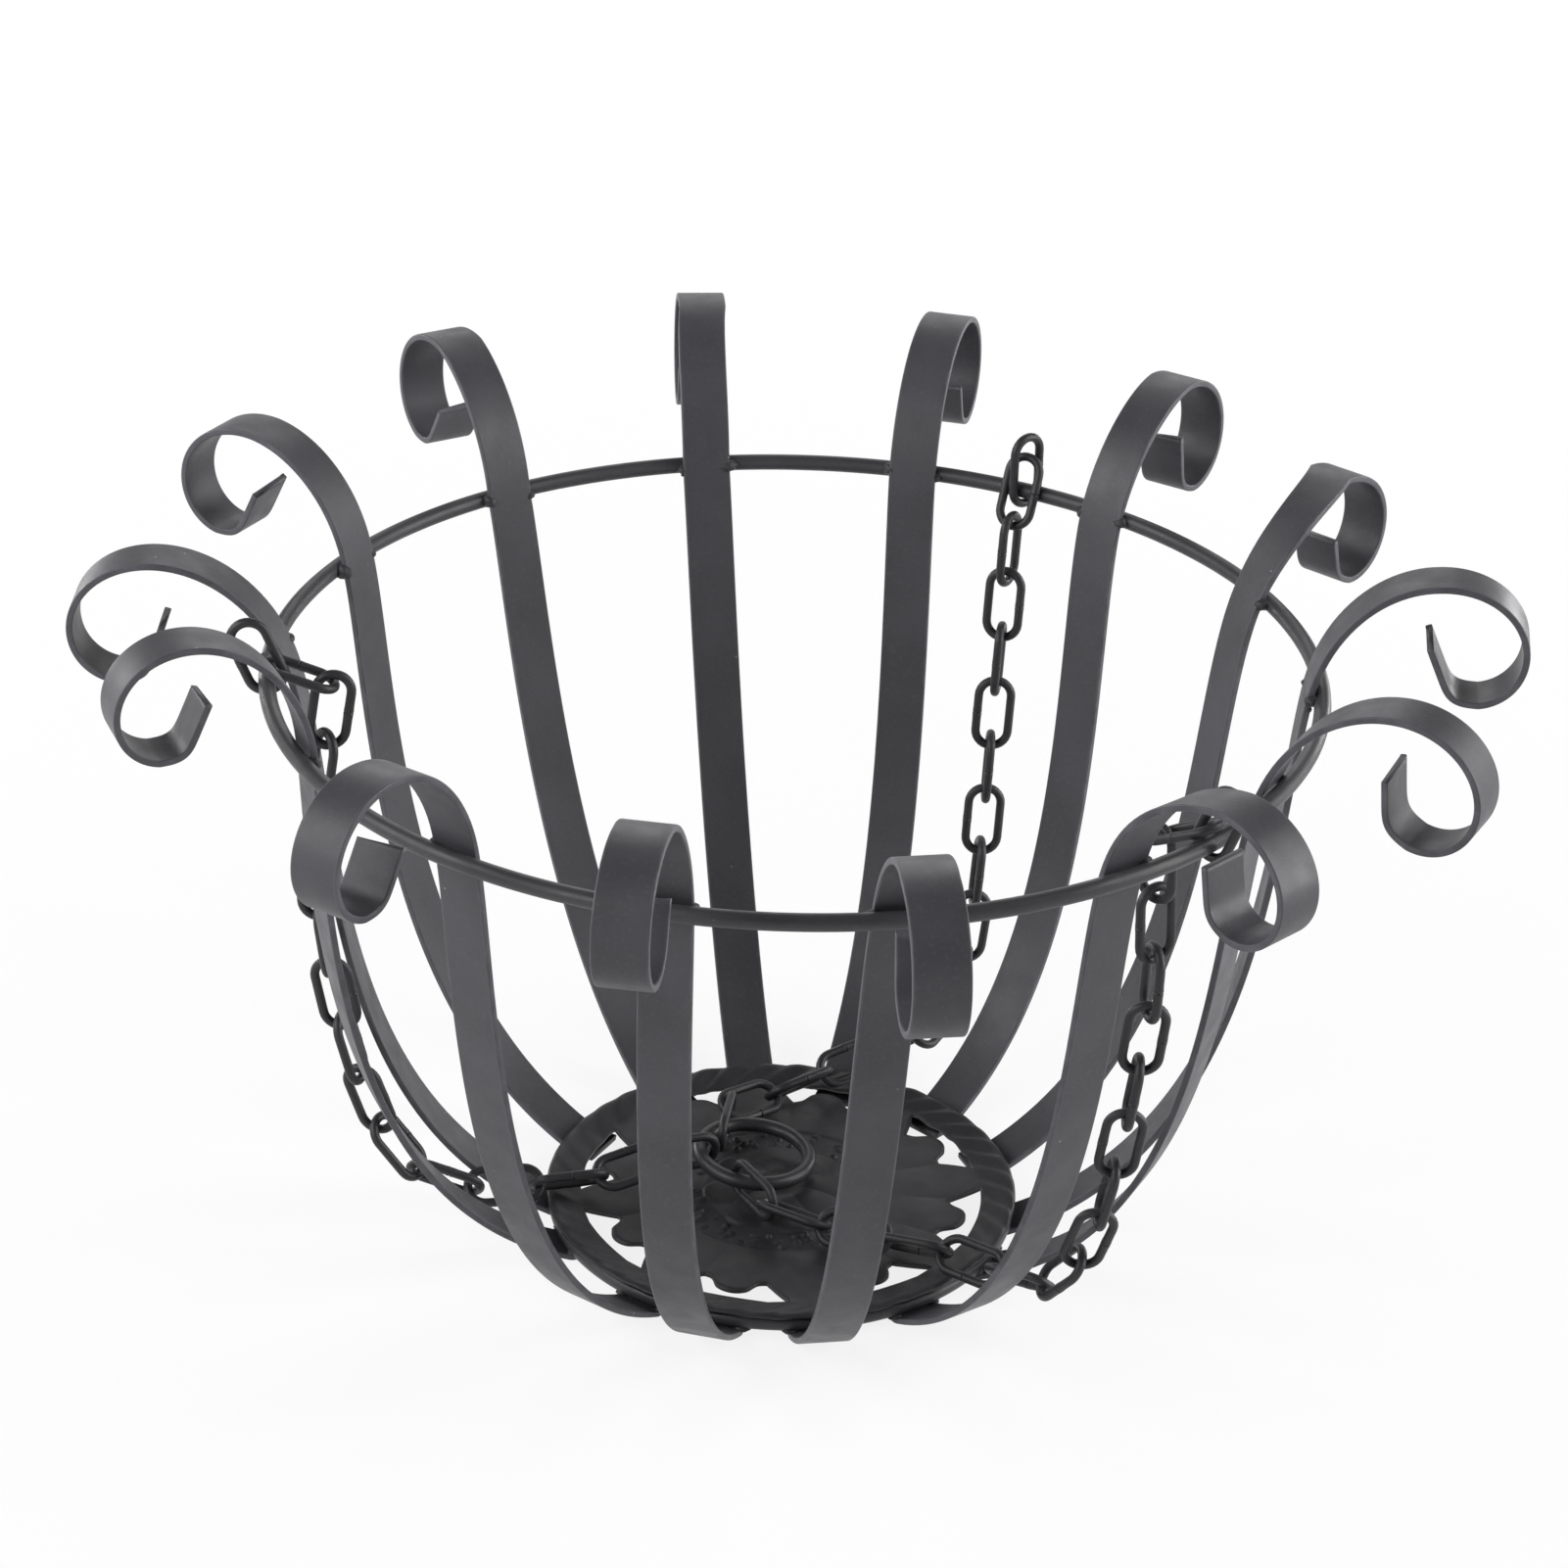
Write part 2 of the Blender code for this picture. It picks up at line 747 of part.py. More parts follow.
def chain_frames(plan):
    """The matrices of one chain's links from the rim to the ring, and the joints between."""
    turn = plan["hang_turn"]
    saddle = saddle_link_frame(plan)
    end_middle, away = end_link_line(plan)
    start = saddle @ Vector((0, 0, link_reach)) + (link_reach - link_pitch / 2) * up
    end_half = link_pitch / 2 - end_link_play
    joints = chain_joints(plan, start, end_middle + end_half * away)
    spans = list(zip(joints, joints[1:]))
    spans.append((joints[-1], end_middle - end_half * away))
    frames = [rim_link_frame(plan), saddle]
    last = len(spans) + len(frames)
    cross = sideways(turn)
    for a, b in spans:
        along = (b - a).normalized()
        cross = (cross - cross.dot(along) * along).normalized()
        number = len(frames) + 1
        if number > last_rolling_link:
            cross = math.copysign(1, along.cross(up).dot(cross)) * along.cross(up).normalized()
        roll = link_roll(number, last, plan["hang_roll"])
        normal = Matrix.Rotation(math.radians(roll), 3, along) @ cross
        middle = (a + b) / 2
        if number == single_links + 1:
            middle = b - tight_pitch / 2 * along
        elif number == last - 1:
            middle = a + tight_pitch / 2 * along
        frames.append(link_frame(middle, along, normal))
    return frames, joints


def make_chain(side, plan, collection, material):
    """One chain, each single link with its origin where it hangs from what is above it."""
    frames, joints = chain_frames(plan)
    wire = rim_radius * outward(plan["hang_turn"]) + rim_height * up
    perch = frames[1] @ Vector((0, 0, -link_reach))
    for index, (frame, hook) in enumerate(zip(frames, [wire, perch, *joints])):
        if index < single_links:
            origin = Matrix.Translation(hook) @ frame.to_3x3().to_4x4()
            make_link(f"{side}_chain_link_{index + 1:02d}", frame, origin, collection, material)
    lying = frames[single_links:-1]
    fuse_links(f"{side}_chain_lying_links", lying, collection, material)
    make_link(f"{side}_chain_end_link", frames[-1], frames[-1], collection, material)


def build():
    """The whole basket."""
    clear_scene()
    basket = make_collection("hanging flower basket")
    cutters = make_collection("cutters")
    strap_paint = make_material("strap black", (0.035, 0.035, 0.04), 0.5, 0.3)
    wire_paint = make_material("wire black", (0.03, 0.03, 0.035), 0.5, 0.3)
    plate_paint = make_material("plate black", (0.045, 0.045, 0.05), 0.5, 0.3)
    chain_paint = make_material("chain black", (0.05, 0.05, 0.055), 0.45, 0.5)
    ring_paint = make_material("ring black", (0.04, 0.04, 0.045), 0.45, 0.5)

    rim = wire_ring("rim_wire", rim_radius, rim_wire, rim_segments, basket, wire_paint)
    rim.location.z = rim_height
    hoop = wire_ring("base_hoop", hoop_radius, hoop_wire, hoop_segments, basket, wire_paint)
    hoop.location.z = hoop_height

    for index in range(strap_count):
        offset, *shape = strap_shares[index % len(strap_shares)]
        turn = first_strap_turn - index * 360 / strap_count + offset
        make_strap(f"strap_{index + 1:02d}", turn, shape, basket, strap_paint)

    make_cutters(cutters)
    make_plate(basket, cutters, plate_paint)

    for side, plan in chains.items():
        make_chain(side, plan, basket, chain_paint)

    pivot = bpy.data.objects.new("ring pivot", None)
    basket.objects.link(pivot)
    pivot.matrix_world = ring_frame()
    ring = wire_ring("hanging_ring", ring_radius, ring_wire, ring_segments, basket, ring_paint)
    ring.parent = pivot


build()
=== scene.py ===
"""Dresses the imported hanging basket: finer bars, links and rosette, paint, light and camera."""

import math
import random

import bmesh
import bpy
from mathutils import Matrix, Vector, noise


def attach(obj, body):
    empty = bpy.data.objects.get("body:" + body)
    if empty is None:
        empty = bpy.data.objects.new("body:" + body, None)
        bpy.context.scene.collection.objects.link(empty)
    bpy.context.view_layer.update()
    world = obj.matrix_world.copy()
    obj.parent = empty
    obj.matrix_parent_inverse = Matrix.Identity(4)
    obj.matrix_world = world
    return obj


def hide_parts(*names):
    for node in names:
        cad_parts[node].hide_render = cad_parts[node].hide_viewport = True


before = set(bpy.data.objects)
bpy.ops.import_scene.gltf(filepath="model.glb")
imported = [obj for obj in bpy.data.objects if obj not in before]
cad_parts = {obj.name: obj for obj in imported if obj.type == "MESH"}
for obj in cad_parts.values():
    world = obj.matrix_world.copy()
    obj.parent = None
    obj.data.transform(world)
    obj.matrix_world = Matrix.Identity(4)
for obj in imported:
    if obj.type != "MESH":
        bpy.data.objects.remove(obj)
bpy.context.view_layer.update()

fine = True

# Sizes and shapes shared with the model
seat_gap = 0.0003
link_gap = 0.0004
hanging_gap = 0.0009
lying_gap = 0.0007
rim_radius = 0.1525
rim_wire = 0.005
rim_height = 0.186
hoop_radius = 0.0695
hoop_wire = 0.005
strap_count = 14
strap_width = 0.015
strap_thickness = 0.002
foot_reach = 0.0055
foot_slope = 24.0
rim_slope = 75.4
bowl_handle_shares = (0.41, 0.20)
scroll_start_radius = 0.059
scroll_end_radius = 0.0122
scroll_turn = 364.0
scroll_tightening = 74.0
twist_share = 0.2
first_strap_turn = 101.8
strap_shares = [
    (0.0, 1.08, -6.0, -7.0, -1.0, -3.5),
    (0.0, 1.03, -3.5, -0.5, -2.5, -1.5),
    (0.0, 1.02, 4.5, 6.5, 6.5, -3.0),
    (-1.5, 0.94, 8.0, 25.5, -9.0, 0.0),
    (-1.5, 1.01, -4.5, -4.0, 2.5, -1.5),
    (-1.0, 1.00, 4.0, 0.5, 4.0, 2.0),
    (-1.0, 0.96, 0.5, 8.5, 6.0, -1.0),
    (-0.5, 1.02, 6.5, -3.0, 2.0, -2.5),
    (1.5, 1.01, -5.5, 3.5, -0.5, -2.0),
    (3.0, 0.97, -4.5, 3.5, -10.5, 1.0),
    (0.0, 0.94, -10.0, -2.0, 6.0, -3.0),
    (0.5, 0.97, 9.5, 0.5, -7.5, 1.5),
    (1.0, 0.98, -4.0, -2.5, -1.0, -2.5),
    (0.5, 1.05, -5.5, -7.0, -6.0, -6.5),
]
plate_outer = 0.0725
plate_thickness = 0.0012
crest_lift = 0.0042
border_width = 0.011
border_slope = 14.5
dome_radius = 0.018
dome_height = 0.0025
petal_count = 8
first_petal_turn = 98.5
cutout_shares = [(-0.25, 0.845), (-0.18, 0.86), (-0.11, 0.92), (0.0, 0.945), (0.10, 0.92),
                 (0.16, 0.86), (0.23, 0.84)]
cutout_ends_share = 0.38
link_length = 0.0252
link_width = 0.0132
link_wire = 0.0028
lying_touch = 0.0005
ring_radius = 0.017
ring_wire = 0.0045
ring_tilt = 5.0
ring_lift = 0.0013
end_link_play = 0.0010
ring_centre_shares = (-0.118, 0.103)
bulge_shares = [0.05, 0.12, 0.25, 0.45, 0.65, 0.85, 1.0, 0.9, 0.5, 0.15]
chains = {
    "rear": {
        "hang_turn": 62.0, "base_turn": 62.0, "saddle_slope": 65.0, "saddle_perch_share": 0.2,
        "rim_link_lean": 0.0, "rim_link_turn": 22.0, "hang_roll": 62.0,
        "hang_shares": [(0.834, 0.726), (0.797, 0.608), (0.749, 0.478), (0.706, 0.371),
                        (0.645, 0.280), (0.579, 0.188), (0.495, 0.112), (0.375, 0.078),
                        (0.250, 0.068), (0.130, 0.090)],
        "ring_turn": 124.0, "pull_turn": 83.0, "ring_slack_share": 0.16,
        "lying_shares": [(0.03, -0.126), (0.25, -0.125), (0.59, -0.10), (0.82, -0.08)],
    },
    "right": {
        "hang_turn": -42.0, "base_turn": -42.0, "saddle_slope": 28.0, "saddle_perch_share": 0.5,
        "rim_link_lean": 22.0, "rim_link_turn": 0.0, "hang_roll": -42.0,
        "hang_shares": [(0.809, 0.726), (0.772, 0.608), (0.720, 0.478), (0.670, 0.371),
                        (0.602, 0.280), (0.525, 0.188), (0.425, 0.120), (0.315, 0.092),
                        (0.220, 0.080), (0.118, 0.088)],
        "ring_turn": 262.0, "pull_turn": 303.0, "ring_slack_share": 0.09,
        "lying_shares": [(-0.05, -0.004), (0.22, -0.016), (0.50, -0.004), (0.73, 0.02)],
    },
    "left": {
        "hang_turn": -174.0, "base_turn": -168.5, "saddle_slope": 22.0,
        "saddle_perch_share": 0.5, "rim_link_lean": 22.0, "rim_link_turn": 0.0,
        "hang_roll": 9.5,
        "hang_shares": [(0.850, 0.726), (0.835, 0.608), (0.790, 0.478), (0.725, 0.371),
                        (0.650, 0.280), (0.570, 0.188), (0.465, 0.115), (0.345, 0.082),
                        (0.230, 0.070), (0.120, 0.082)],
        "ring_turn": 185.0, "pull_turn": 205.0, "ring_slack_share": 0.05,
        "lying_shares": [(0.0, 0.02), (0.35, 0.016), (0.71, -0.015)],
    },
}
lying_roll = 45.0
end_roll = 5.0
near_end_roll = 62.0
upright_roll = 90.0
first_hanging_link = 3
settled_link = 6
first_rolling_link = 7
last_rolling_link = 13
single_links = 12
hanging_spans = 10
ease_steps = 12
ease_reach = 9
last_twisting_link = 10

# How finely paths are followed
foot_steps = 4
foot_bend_steps = 8
bowl_steps = 60
scroll_steps = 110
scroll_substeps = 4
route_steps = 40
halvings = 40

# Places worked out from the sizes
hoop_height = strap_thickness + seat_gap + hoop_wire / 2
flat_radius = plate_outer - border_width * math.cos(math.radians(border_slope))
border_rise = math.tan(math.radians(border_slope))
plate_bottom = (hoop_height + (hoop_wire / 2 + seat_gap) / math.cos(math.radians(border_slope))
                - (hoop_radius - flat_radius) * border_rise)
plate_top = plate_bottom + plate_thickness
ring_height = plate_top + dome_height + seat_gap + ring_wire / 2 + ring_lift
bight_radius = link_width / 2 - link_wire / 2
link_leg = link_length / 2 - link_width / 2
link_reach = link_length / 2 - link_wire / 2
link_pitch = link_length - 2 * link_wire - link_gap
hanging_pitch = link_length - 2 * link_wire - hanging_gap
tight_pitch = link_length - 2 * link_wire + lying_touch
entry_pitch = (hanging_pitch + tight_pitch) / 2
lying_height = (plate_top + lying_gap + link_wire / 2
                + bight_radius * math.sin(math.radians(lying_roll)))
up = Vector((0, 0, 1))


def outward(turn):
    """The level direction at an angle in degrees from +X."""
    angle = math.radians(turn)
    return Vector((math.cos(angle), math.sin(angle), 0))


def sideways(turn):
    angle = math.radians(turn)
    return Vector((math.sin(angle), -math.cos(angle), 0))


def bezier(a, b, c, d, share):
    rest = 1 - share
    return (rest ** 3 * a + 3 * rest ** 2 * share * b
            + 3 * rest * share ** 2 * c + share ** 3 * d)


# Strap paths
def rim_crossing(slope):
    """Where a strap's middle passes the rim wire, as radius and height."""
    half = strap_width / 2
    sag = rim_radius - math.sqrt(rim_radius ** 2 - half ** 2)
    seat = rim_wire / 2 + seat_gap + strap_thickness / 2 + sag
    angle = math.radians(slope)
    return Vector((rim_radius - seat * math.sin(angle), rim_height + seat * math.cos(angle)))


def strap_rungs(size_share, lean, twist, extra_curl, foot_turn):
    """Pairs of a middle point and the direction across, close together, foot to scroll end."""
    slope = rim_slope - lean
    crossing = rim_crossing(slope)
    seat = hoop_wire / 2 + seat_gap + strap_thickness / 2
    low = [Vector((hoop_radius - foot_reach + foot_reach * step / foot_steps,
                   strap_thickness / 2)) for step in range(foot_steps)]
    for step in range(foot_bend_steps + 1):
        angle = math.radians(foot_slope * step / foot_bend_steps)
        low.append(Vector((hoop_radius + seat * math.sin(angle),
                           hoop_height - seat * math.cos(angle))))
    start = low[-1]
    reach = (crossing - start).length
    leave = math.radians(foot_slope)
    arrive = math.radians(slope)
    first = start + bowl_handle_shares[0] * reach * Vector((math.cos(leave), math.sin(leave)))
    second = crossing - bowl_handle_shares[1] * reach * Vector((math.cos(arrive),
                                                                math.sin(arrive)))
    low += [bezier(start, first, second, crossing, (step + 1) / bowl_steps)
            for step in range(bowl_steps)]
    rungs = []
    for point in low:
        share = 1 - min(point.y / crossing.y, 1)
        swing = Matrix.Rotation(math.radians(foot_turn * share), 3, "Z")
        rungs.append((swing @ Vector((point.x, 0, point.y)), swing @ Vector((0, 1, 0))))
    turn = math.radians(scroll_turn + extra_curl)
    tightening = math.radians(scroll_tightening)
    steps = scroll_steps * scroll_substeps
    point = crossing.copy()
    for step in range(steps):
        turned = turn * (step + 0.5) / steps
        radius = size_share * (scroll_end_radius + (scroll_start_radius - scroll_end_radius)
                               * math.exp(-turned / tightening))
        heading = math.radians(slope) - turned
        point = point + radius * turn / steps * Vector((math.cos(heading), math.sin(heading)))
        if (step + 1) % scroll_substeps == 0:
            share = (step + 1) / steps
            swing = Matrix.Rotation(math.radians(twist * min(share / twist_share, 1)), 3, "Z")
            offset = swing @ Vector((point.x - crossing.x, 0, point.y - crossing.y))
            rungs.append((Vector((crossing.x, 0, crossing.y)) + offset,
                          swing @ Vector((0, 1, 0))))
    return rungs


# Chain paths
def link_frame(middle, along, normal):
    """A matrix with Z along a link and Y through its hole."""
    along = along.normalized()
    normal = (normal - normal.dot(along) * along).normalized()
    turn = Matrix((normal.cross(along), normal, along)).transposed()
    return Matrix.Translation(middle) @ turn.to_4x4()


def smooth_route(points):
    """Close points on a smooth curve through the stops."""
    ends = [2 * points[0] - points[1], *points, 2 * points[-1] - points[-2]]
    route = []
    for a, b, c, d in zip(ends, ends[1:], ends[2:], ends[3:]):
        for step in range(route_steps):
            share = step / route_steps
            route.append(0.5 * (2 * b + (c - a) * share + (2 * a - 5 * b + 4 * c - d) * share ** 2
                                + (3 * b - a - 3 * c + d) * share ** 3))
    route.append(points[-1])
    return route


def eased_route(route):
    """The route in even steps, with its corners eased."""
    step = link_length / ease_steps
    points = [route[0]]
    ahead = step
    for near, far in zip(route, route[1:]):
        span = (far - near).length
        while ahead <= span:
            points.append(near + ahead / span * (far - near))
            ahead += step
        ahead -= span
    points.append(route[-1])
    eased = []
    for index in range(len(points)):
        reach = min(ease_reach, index, len(points) - 1 - index)
        around = points[index - reach:index + reach + 1]
        eased.append(sum(around, Vector()) / len(around))
    return eased


def cut_route(route, pitch):
    """The route from one pitch on, or None past its end."""
    here = route[0]
    for index, point in enumerate(route):
        if (point - here).length >= pitch:
            near = route[index - 1]
            far = point
            for _ in range(halvings):
                middle = (near + far) / 2
                if (middle - here).length < pitch:
                    near = middle
                else:
                    far = middle
            return [far, *route[index:]]
    return None


def walk(route, pitch, count):
    """Joints one pitch apart, and what is left of the route."""
    joints = [route[0]]
    for _ in range(count):
        route = cut_route(route, pitch)
        if route is None:
            return joints, None
        joints.append(route[0])
    return joints, route


def walk_spans(route, inner_count):
    """Joints of a whole chain, each stretch at its own pitch."""
    joints = [route[0]]
    for pitch, count in ((hanging_pitch, hanging_spans), (entry_pitch, 1),
                         (tight_pitch, inner_count), (hanging_pitch, 1)):
        if route is None:
            return joints, None
        more, route = walk(route, pitch, count)
        joints += more[1:]
    return joints, route


def chain_joints(plan, start, last_stop):
    """Joints that end at the last stop, with the slack in a bulge."""
    inner_count = 0
    route = chain_route(plan, start, last_stop, 0)
    while walk_spans(route, inner_count)[1] is not None:
        inner_count += 1
    near = 0
    far = link_length
    for _ in range(halvings):
        bulge = (near + far) / 2
        if walk_spans(chain_route(plan, start, last_stop, bulge), inner_count)[1] is None:
            near = bulge
        else:
            far = bulge
    route = chain_route(plan, start, last_stop, far)
    joints = walk_spans(route, inner_count)[0]
    joints[-1] = route[-1]
    return joints


def ring_frame():
    middle = Vector((ring_centre_shares[0] * plate_outer, ring_centre_shares[1] * plate_outer,
                     ring_height + ring_radius * math.sin(math.radians(ring_tilt))))
    return Matrix.Translation(middle) @ Matrix.Rotation(math.radians(ring_tilt), 4, "Y")


def rim_link_frame(plan):
    """Where a chain's first link stands on the rim wire."""
    turn = plan["hang_turn"]
    seat = rim_wire / 2 + link_wire / 2 + seat_gap
    lean = Matrix.Rotation(math.radians(-plan["rim_link_lean"]), 3, sideways(turn))
    spin = Matrix.Rotation(math.radians(-plan["rim_link_turn"]), 3, "Z")
    along = lean @ up
    wire = rim_radius * outward(turn) + rim_height * up
    return link_frame(wire + (link_reach - seat) * along, along, spin @ sideways(turn))


def saddle_link_frame(plan):
    """Where a chain's second link lies over the rim wire."""
    turn = plan["hang_turn"]
    slope = math.radians(plan["saddle_slope"])
    seat = rim_wire / 2 + link_wire / 2 + link_gap
    along = -math.cos(slope) * outward(turn) - math.sin(slope) * up
    lift = -math.sin(slope) * outward(turn) + math.cos(slope) * up
    wire = rim_radius * outward(turn) + rim_height * up
    back = (plan["saddle_perch_share"] * link_wire + seat * math.sin(slope)) / math.cos(slope)
    return link_frame(wire + seat * lift - back * along + link_reach * along, along, lift)


def lying_point(x, y):
    """A point over the plate, at the height of the lying links."""
    share = max(math.hypot(x, y) - flat_radius, 0) / (plate_outer - flat_radius)
    crest = (plate_outer - flat_radius) * border_rise + crest_lift
    return Vector((x, y, lying_height + share * crest))


def chain_route(plan, start, last_stop, bulge):
    """A chain's route from its saddle link to its end link."""
    stops = [start]
    for (out_share, height_share), give in zip(plan["hang_shares"], bulge_shares):
        turn = plan["base_turn"] + out_share * (plan["hang_turn"] - plan["base_turn"])
        radius = hoop_radius + out_share * (rim_radius - hoop_radius) + give * bulge
        stops.append(radius * outward(turn) + height_share * rim_height * up)
    entry = hoop_radius * outward(plan["base_turn"])
    way = last_stop - entry
    for along, across in plan["lying_shares"]:
        stops.append(lying_point(entry.x + along * way.x - across * way.y,
                                 entry.y + along * way.y + across * way.x))
    stops.append(last_stop)
    return eased_route(smooth_route(stops))


def link_roll(number, last, hang_roll):
    """How far a link is rolled about its chain's line, in degrees."""
    side = math.copysign(1, hang_roll)
    if number <= settled_link:
        share = (number - first_hanging_link) / (settled_link - first_hanging_link)
        roll = side * upright_roll * (1 - share) + hang_roll * share
    else:
        share = (number - first_rolling_link) / (last_rolling_link - first_rolling_link)
        share = min(max(share, 0), 1)
        roll = hang_roll * (1 - share) + side * lying_roll * share
    if number >= last - 1:
        tilt = end_roll if number == last else near_end_roll
        roll = side * (tilt if number % 2 == 0 else upright_roll - tilt)
    if number % 2:
        roll -= side * upright_roll
    return roll


def chain_frames(plan):
    """The matrices of one chain's links from the rim to the ring."""
    turn = plan["hang_turn"]
    saddle = saddle_link_frame(plan)
    ring = ring_frame()
    wire = ring @ (ring_radius * outward(plan["ring_turn"]))
    away = (ring.to_3x3() @ outward(plan["pull_turn"])).normalized()
    seat = ring_wire / 2 + link_wire / 2 + link_gap
    end_middle = wire + (link_reach - seat - plan["ring_slack_share"] * link_length) * away
    start = saddle @ Vector((0, 0, link_reach)) + (link_reach - link_pitch / 2) * up
    end_half = link_pitch / 2 - end_link_play
    joints = chain_joints(plan, start, end_middle + end_half * away)
    spans = list(zip(joints, joints[1:]))
    spans.append((joints[-1], end_middle - end_half * away))
    frames = [rim_link_frame(plan), saddle]
    last = len(spans) + len(frames)
    cross = sideways(turn)
    for a, b in spans:
        along = (b - a).normalized()
        cross = (cross - cross.dot(along) * along).normalized()
        number = len(frames) + 1
        if number > last_rolling_link:
            cross = math.copysign(1, along.cross(up).dot(cross)) * along.cross(up).normalized()
        normal = Matrix.Rotation(math.radians(link_roll(number, last, plan["hang_roll"])), 3,
                                 along) @ cross
        middle = (a + b) / 2
        if number == single_links + 1:
            middle = b - tight_pitch / 2 * along
        elif number == last - 1:
            middle = a + tight_pitch / 2 * along
        frames.append(link_frame(middle, along, normal))
    return frames


# Mesh helpers
def new_object(name, mesh, material, body, nodes, matrix=None):
    """A finished piece on its body, standing for its nodes."""
    item = bpy.data.objects.new(name, mesh)
    bpy.context.scene.collection.objects.link(item)
    if matrix is not None:
        item.matrix_world = matrix
    if not mesh.materials:
        mesh.materials.append(material)
    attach(item, body)
    if nodes:
        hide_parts(*nodes)
    return item


def grid_mesh(name, rows, closed_rows, closed_columns, edge_shares=None, caps=False):
    """A mesh of quads through rows of points, with an edge share on each point."""
    count = len(rows)
    width = len(rows[0])
    points = [point for row in rows for point in row]
    faces = []
    for i in range(count if closed_rows else count - 1):
        for j in range(width if closed_columns else width - 1):
            a = i * width + j
            b = i * width + (j + 1) % width
            c = ((i + 1) % count) * width + (j + 1) % width
            d = ((i + 1) % count) * width + j
            faces.append((a, b, c, d))
    if caps:
        faces.append(tuple(range(width))[::-1])
        faces.append(tuple((count - 1) * width + j for j in range(width)))
    mesh = bpy.data.meshes.new(name)
    mesh.from_pydata([tuple(point) for point in points], [], faces)
    mesh.validate()
    solid = bmesh.new()
    solid.from_mesh(mesh)
    bmesh.ops.recalc_face_normals(solid, faces=solid.faces)
    solid.to_mesh(mesh)
    solid.free()
    if edge_shares is not None:
        layer = mesh.attributes.new("edge", "FLOAT", "POINT")
        layer.data.foreach_set("value", edge_shares)
    mesh.shade_smooth()
    return mesh


# Straps
strap_edge_radius = 0.00042
corner_steps = 4
hem_share = 0.35
hem_edge_share = 0.25
tip_rungs = (19, 24)
tip_passes = 30
tip_reach = 10
tip_shear = 0.13
spur_length = 0.0011
spur_sharpness = 5
tip_raggedness = 0.00025
foot_raggedness = 0.0002
ragged_scale = 900
ragged_shift = 3.7


def strap_turn(index, offset):
    """Where a strap stands round the basket."""
    return first_strap_turn - index * 360 / strap_count + offset


def rounded_section(width, thickness, radius):
    """Points round a flat bar's section with their edge shares, starting on its flat face."""
    half = width / 2
    low = thickness / 2
    hem = radius * hem_share
    wide_hem = 5 * hem
    points = []
    for side_u, side_v, first in ((1, 1, 0), (-1, 1, 90), (-1, -1, 180), (1, -1, 270)):
        centre = (side_u * (half - radius), side_v * (low - radius))
        arc = []
        for step in range(corner_steps + 1):
            angle = math.radians(first + 90 * step / corner_steps)
            arc.append((centre[0] + radius * math.cos(angle),
                        centre[1] + radius * math.sin(angle), 1.0))
        if side_u * side_v > 0:
            points += arc
            points.append((arc[-1][0] - side_u * hem, arc[-1][1], hem_edge_share))
            points.append((arc[-1][0] - side_u * wide_hem, arc[-1][1], 0.0))
        else:
            points.append((arc[0][0] - side_u * wide_hem, arc[0][1], 0.0))
            points.append((arc[0][0] - side_u * hem, arc[0][1], hem_edge_share))
            points += arc
    return points


def straight_tip(rungs, count):
    """The rungs with the last few set in a line, where the bender has no grip on the bar."""
    middles = [middle for middle, _ in rungs]
    first = len(middles) - 1 - count
    start, end = middles[first], middles[-1]
    for step in range(1, count):
        middles[first + step] = start.lerp(end, step / count)
    for _ in range(tip_passes):
        eased = [(middles[index - 1] + 2 * middles[index] + middles[index + 1]) / 4
                 for index in range(first - tip_reach, first + tip_reach + 1)]
        middles[first - tip_reach:first + tip_reach + 1] = eased
    return [(middle, across) for middle, (_, across) in zip(middles, rungs)]


def strap_mesh(name, turn, shape, seed):
    """A flat bar with rolled edges along its path, its scroll end sheared off by hand."""
    swing = Matrix.Rotation(math.radians(turn), 3, "Z")
    dice = random.Random(seed)
    shear = dice.uniform(-tip_shear, tip_shear)
    rungs = [(swing @ middle, swing @ across)
             for middle, across in straight_tip(strap_rungs(*shape), dice.randint(*tip_rungs))]
    section = rounded_section(strap_width, strap_thickness, strap_edge_radius)
    spur = dice.choice((-1, 1)) * 2 / strap_width
    rows = []
    edges = []
    for index, (middle, across) in enumerate(rungs):
        before = rungs[max(index - 1, 0)][0]
        after = rungs[min(index + 1, len(rungs) - 1)][0]
        along = (after - before).normalized()
        normal = along.cross(across).normalized()
        row = []
        for u, v, edge in section:
            point = middle + u * across + v * normal
            ragged = noise.noise(Vector((u * ragged_scale, v * ragged_scale, seed * ragged_shift)))
            if index == len(rungs) - 1:
                point += along * (u * shear + tip_raggedness * ragged
                                  + spur_length * max(spur * u, 0) ** spur_sharpness)
            elif index == 0:
                point += along * (foot_raggedness * ragged)
            row.append(point)
            ends = 1.0 if index in (0, len(rungs) - 1) else 0.0
            edges.append(max(edge, ends))
        rows.append(row)
    return grid_mesh(name, rows, False, True, edges, caps=True)


# Round wire
bar_sides = 20
link_sides = 16
rim_segments = 320
hoop_segments = 200
link_bend_steps = 14
seam_reach_share = 0.42
leg_stop_share = 0.4


def wire_loop_mesh(name, centres, wire, sides, swell=None):
    """Round wire along a closed loop; swell gives the radius share at each point."""
    rows = []
    count = len(centres)
    total = sum(centres, Vector()) / count
    axis = (centres[0] - total).cross(centres[count // 4] - total).normalized()
    for index, centre in enumerate(centres):
        along = (centres[(index + 1) % count] - centres[index - 1]).normalized()
        side = along.cross(axis).normalized()
        grow = swell[index] if swell else 1.0
        rows.append([centre + wire / 2 * grow * (math.cos(2 * math.pi * k / sides) * side
                                                 + math.sin(2 * math.pi * k / sides) * axis)
                     for k in range(sides)])
    return grid_mesh(name, rows, True, True, [0.0] * (count * sides))


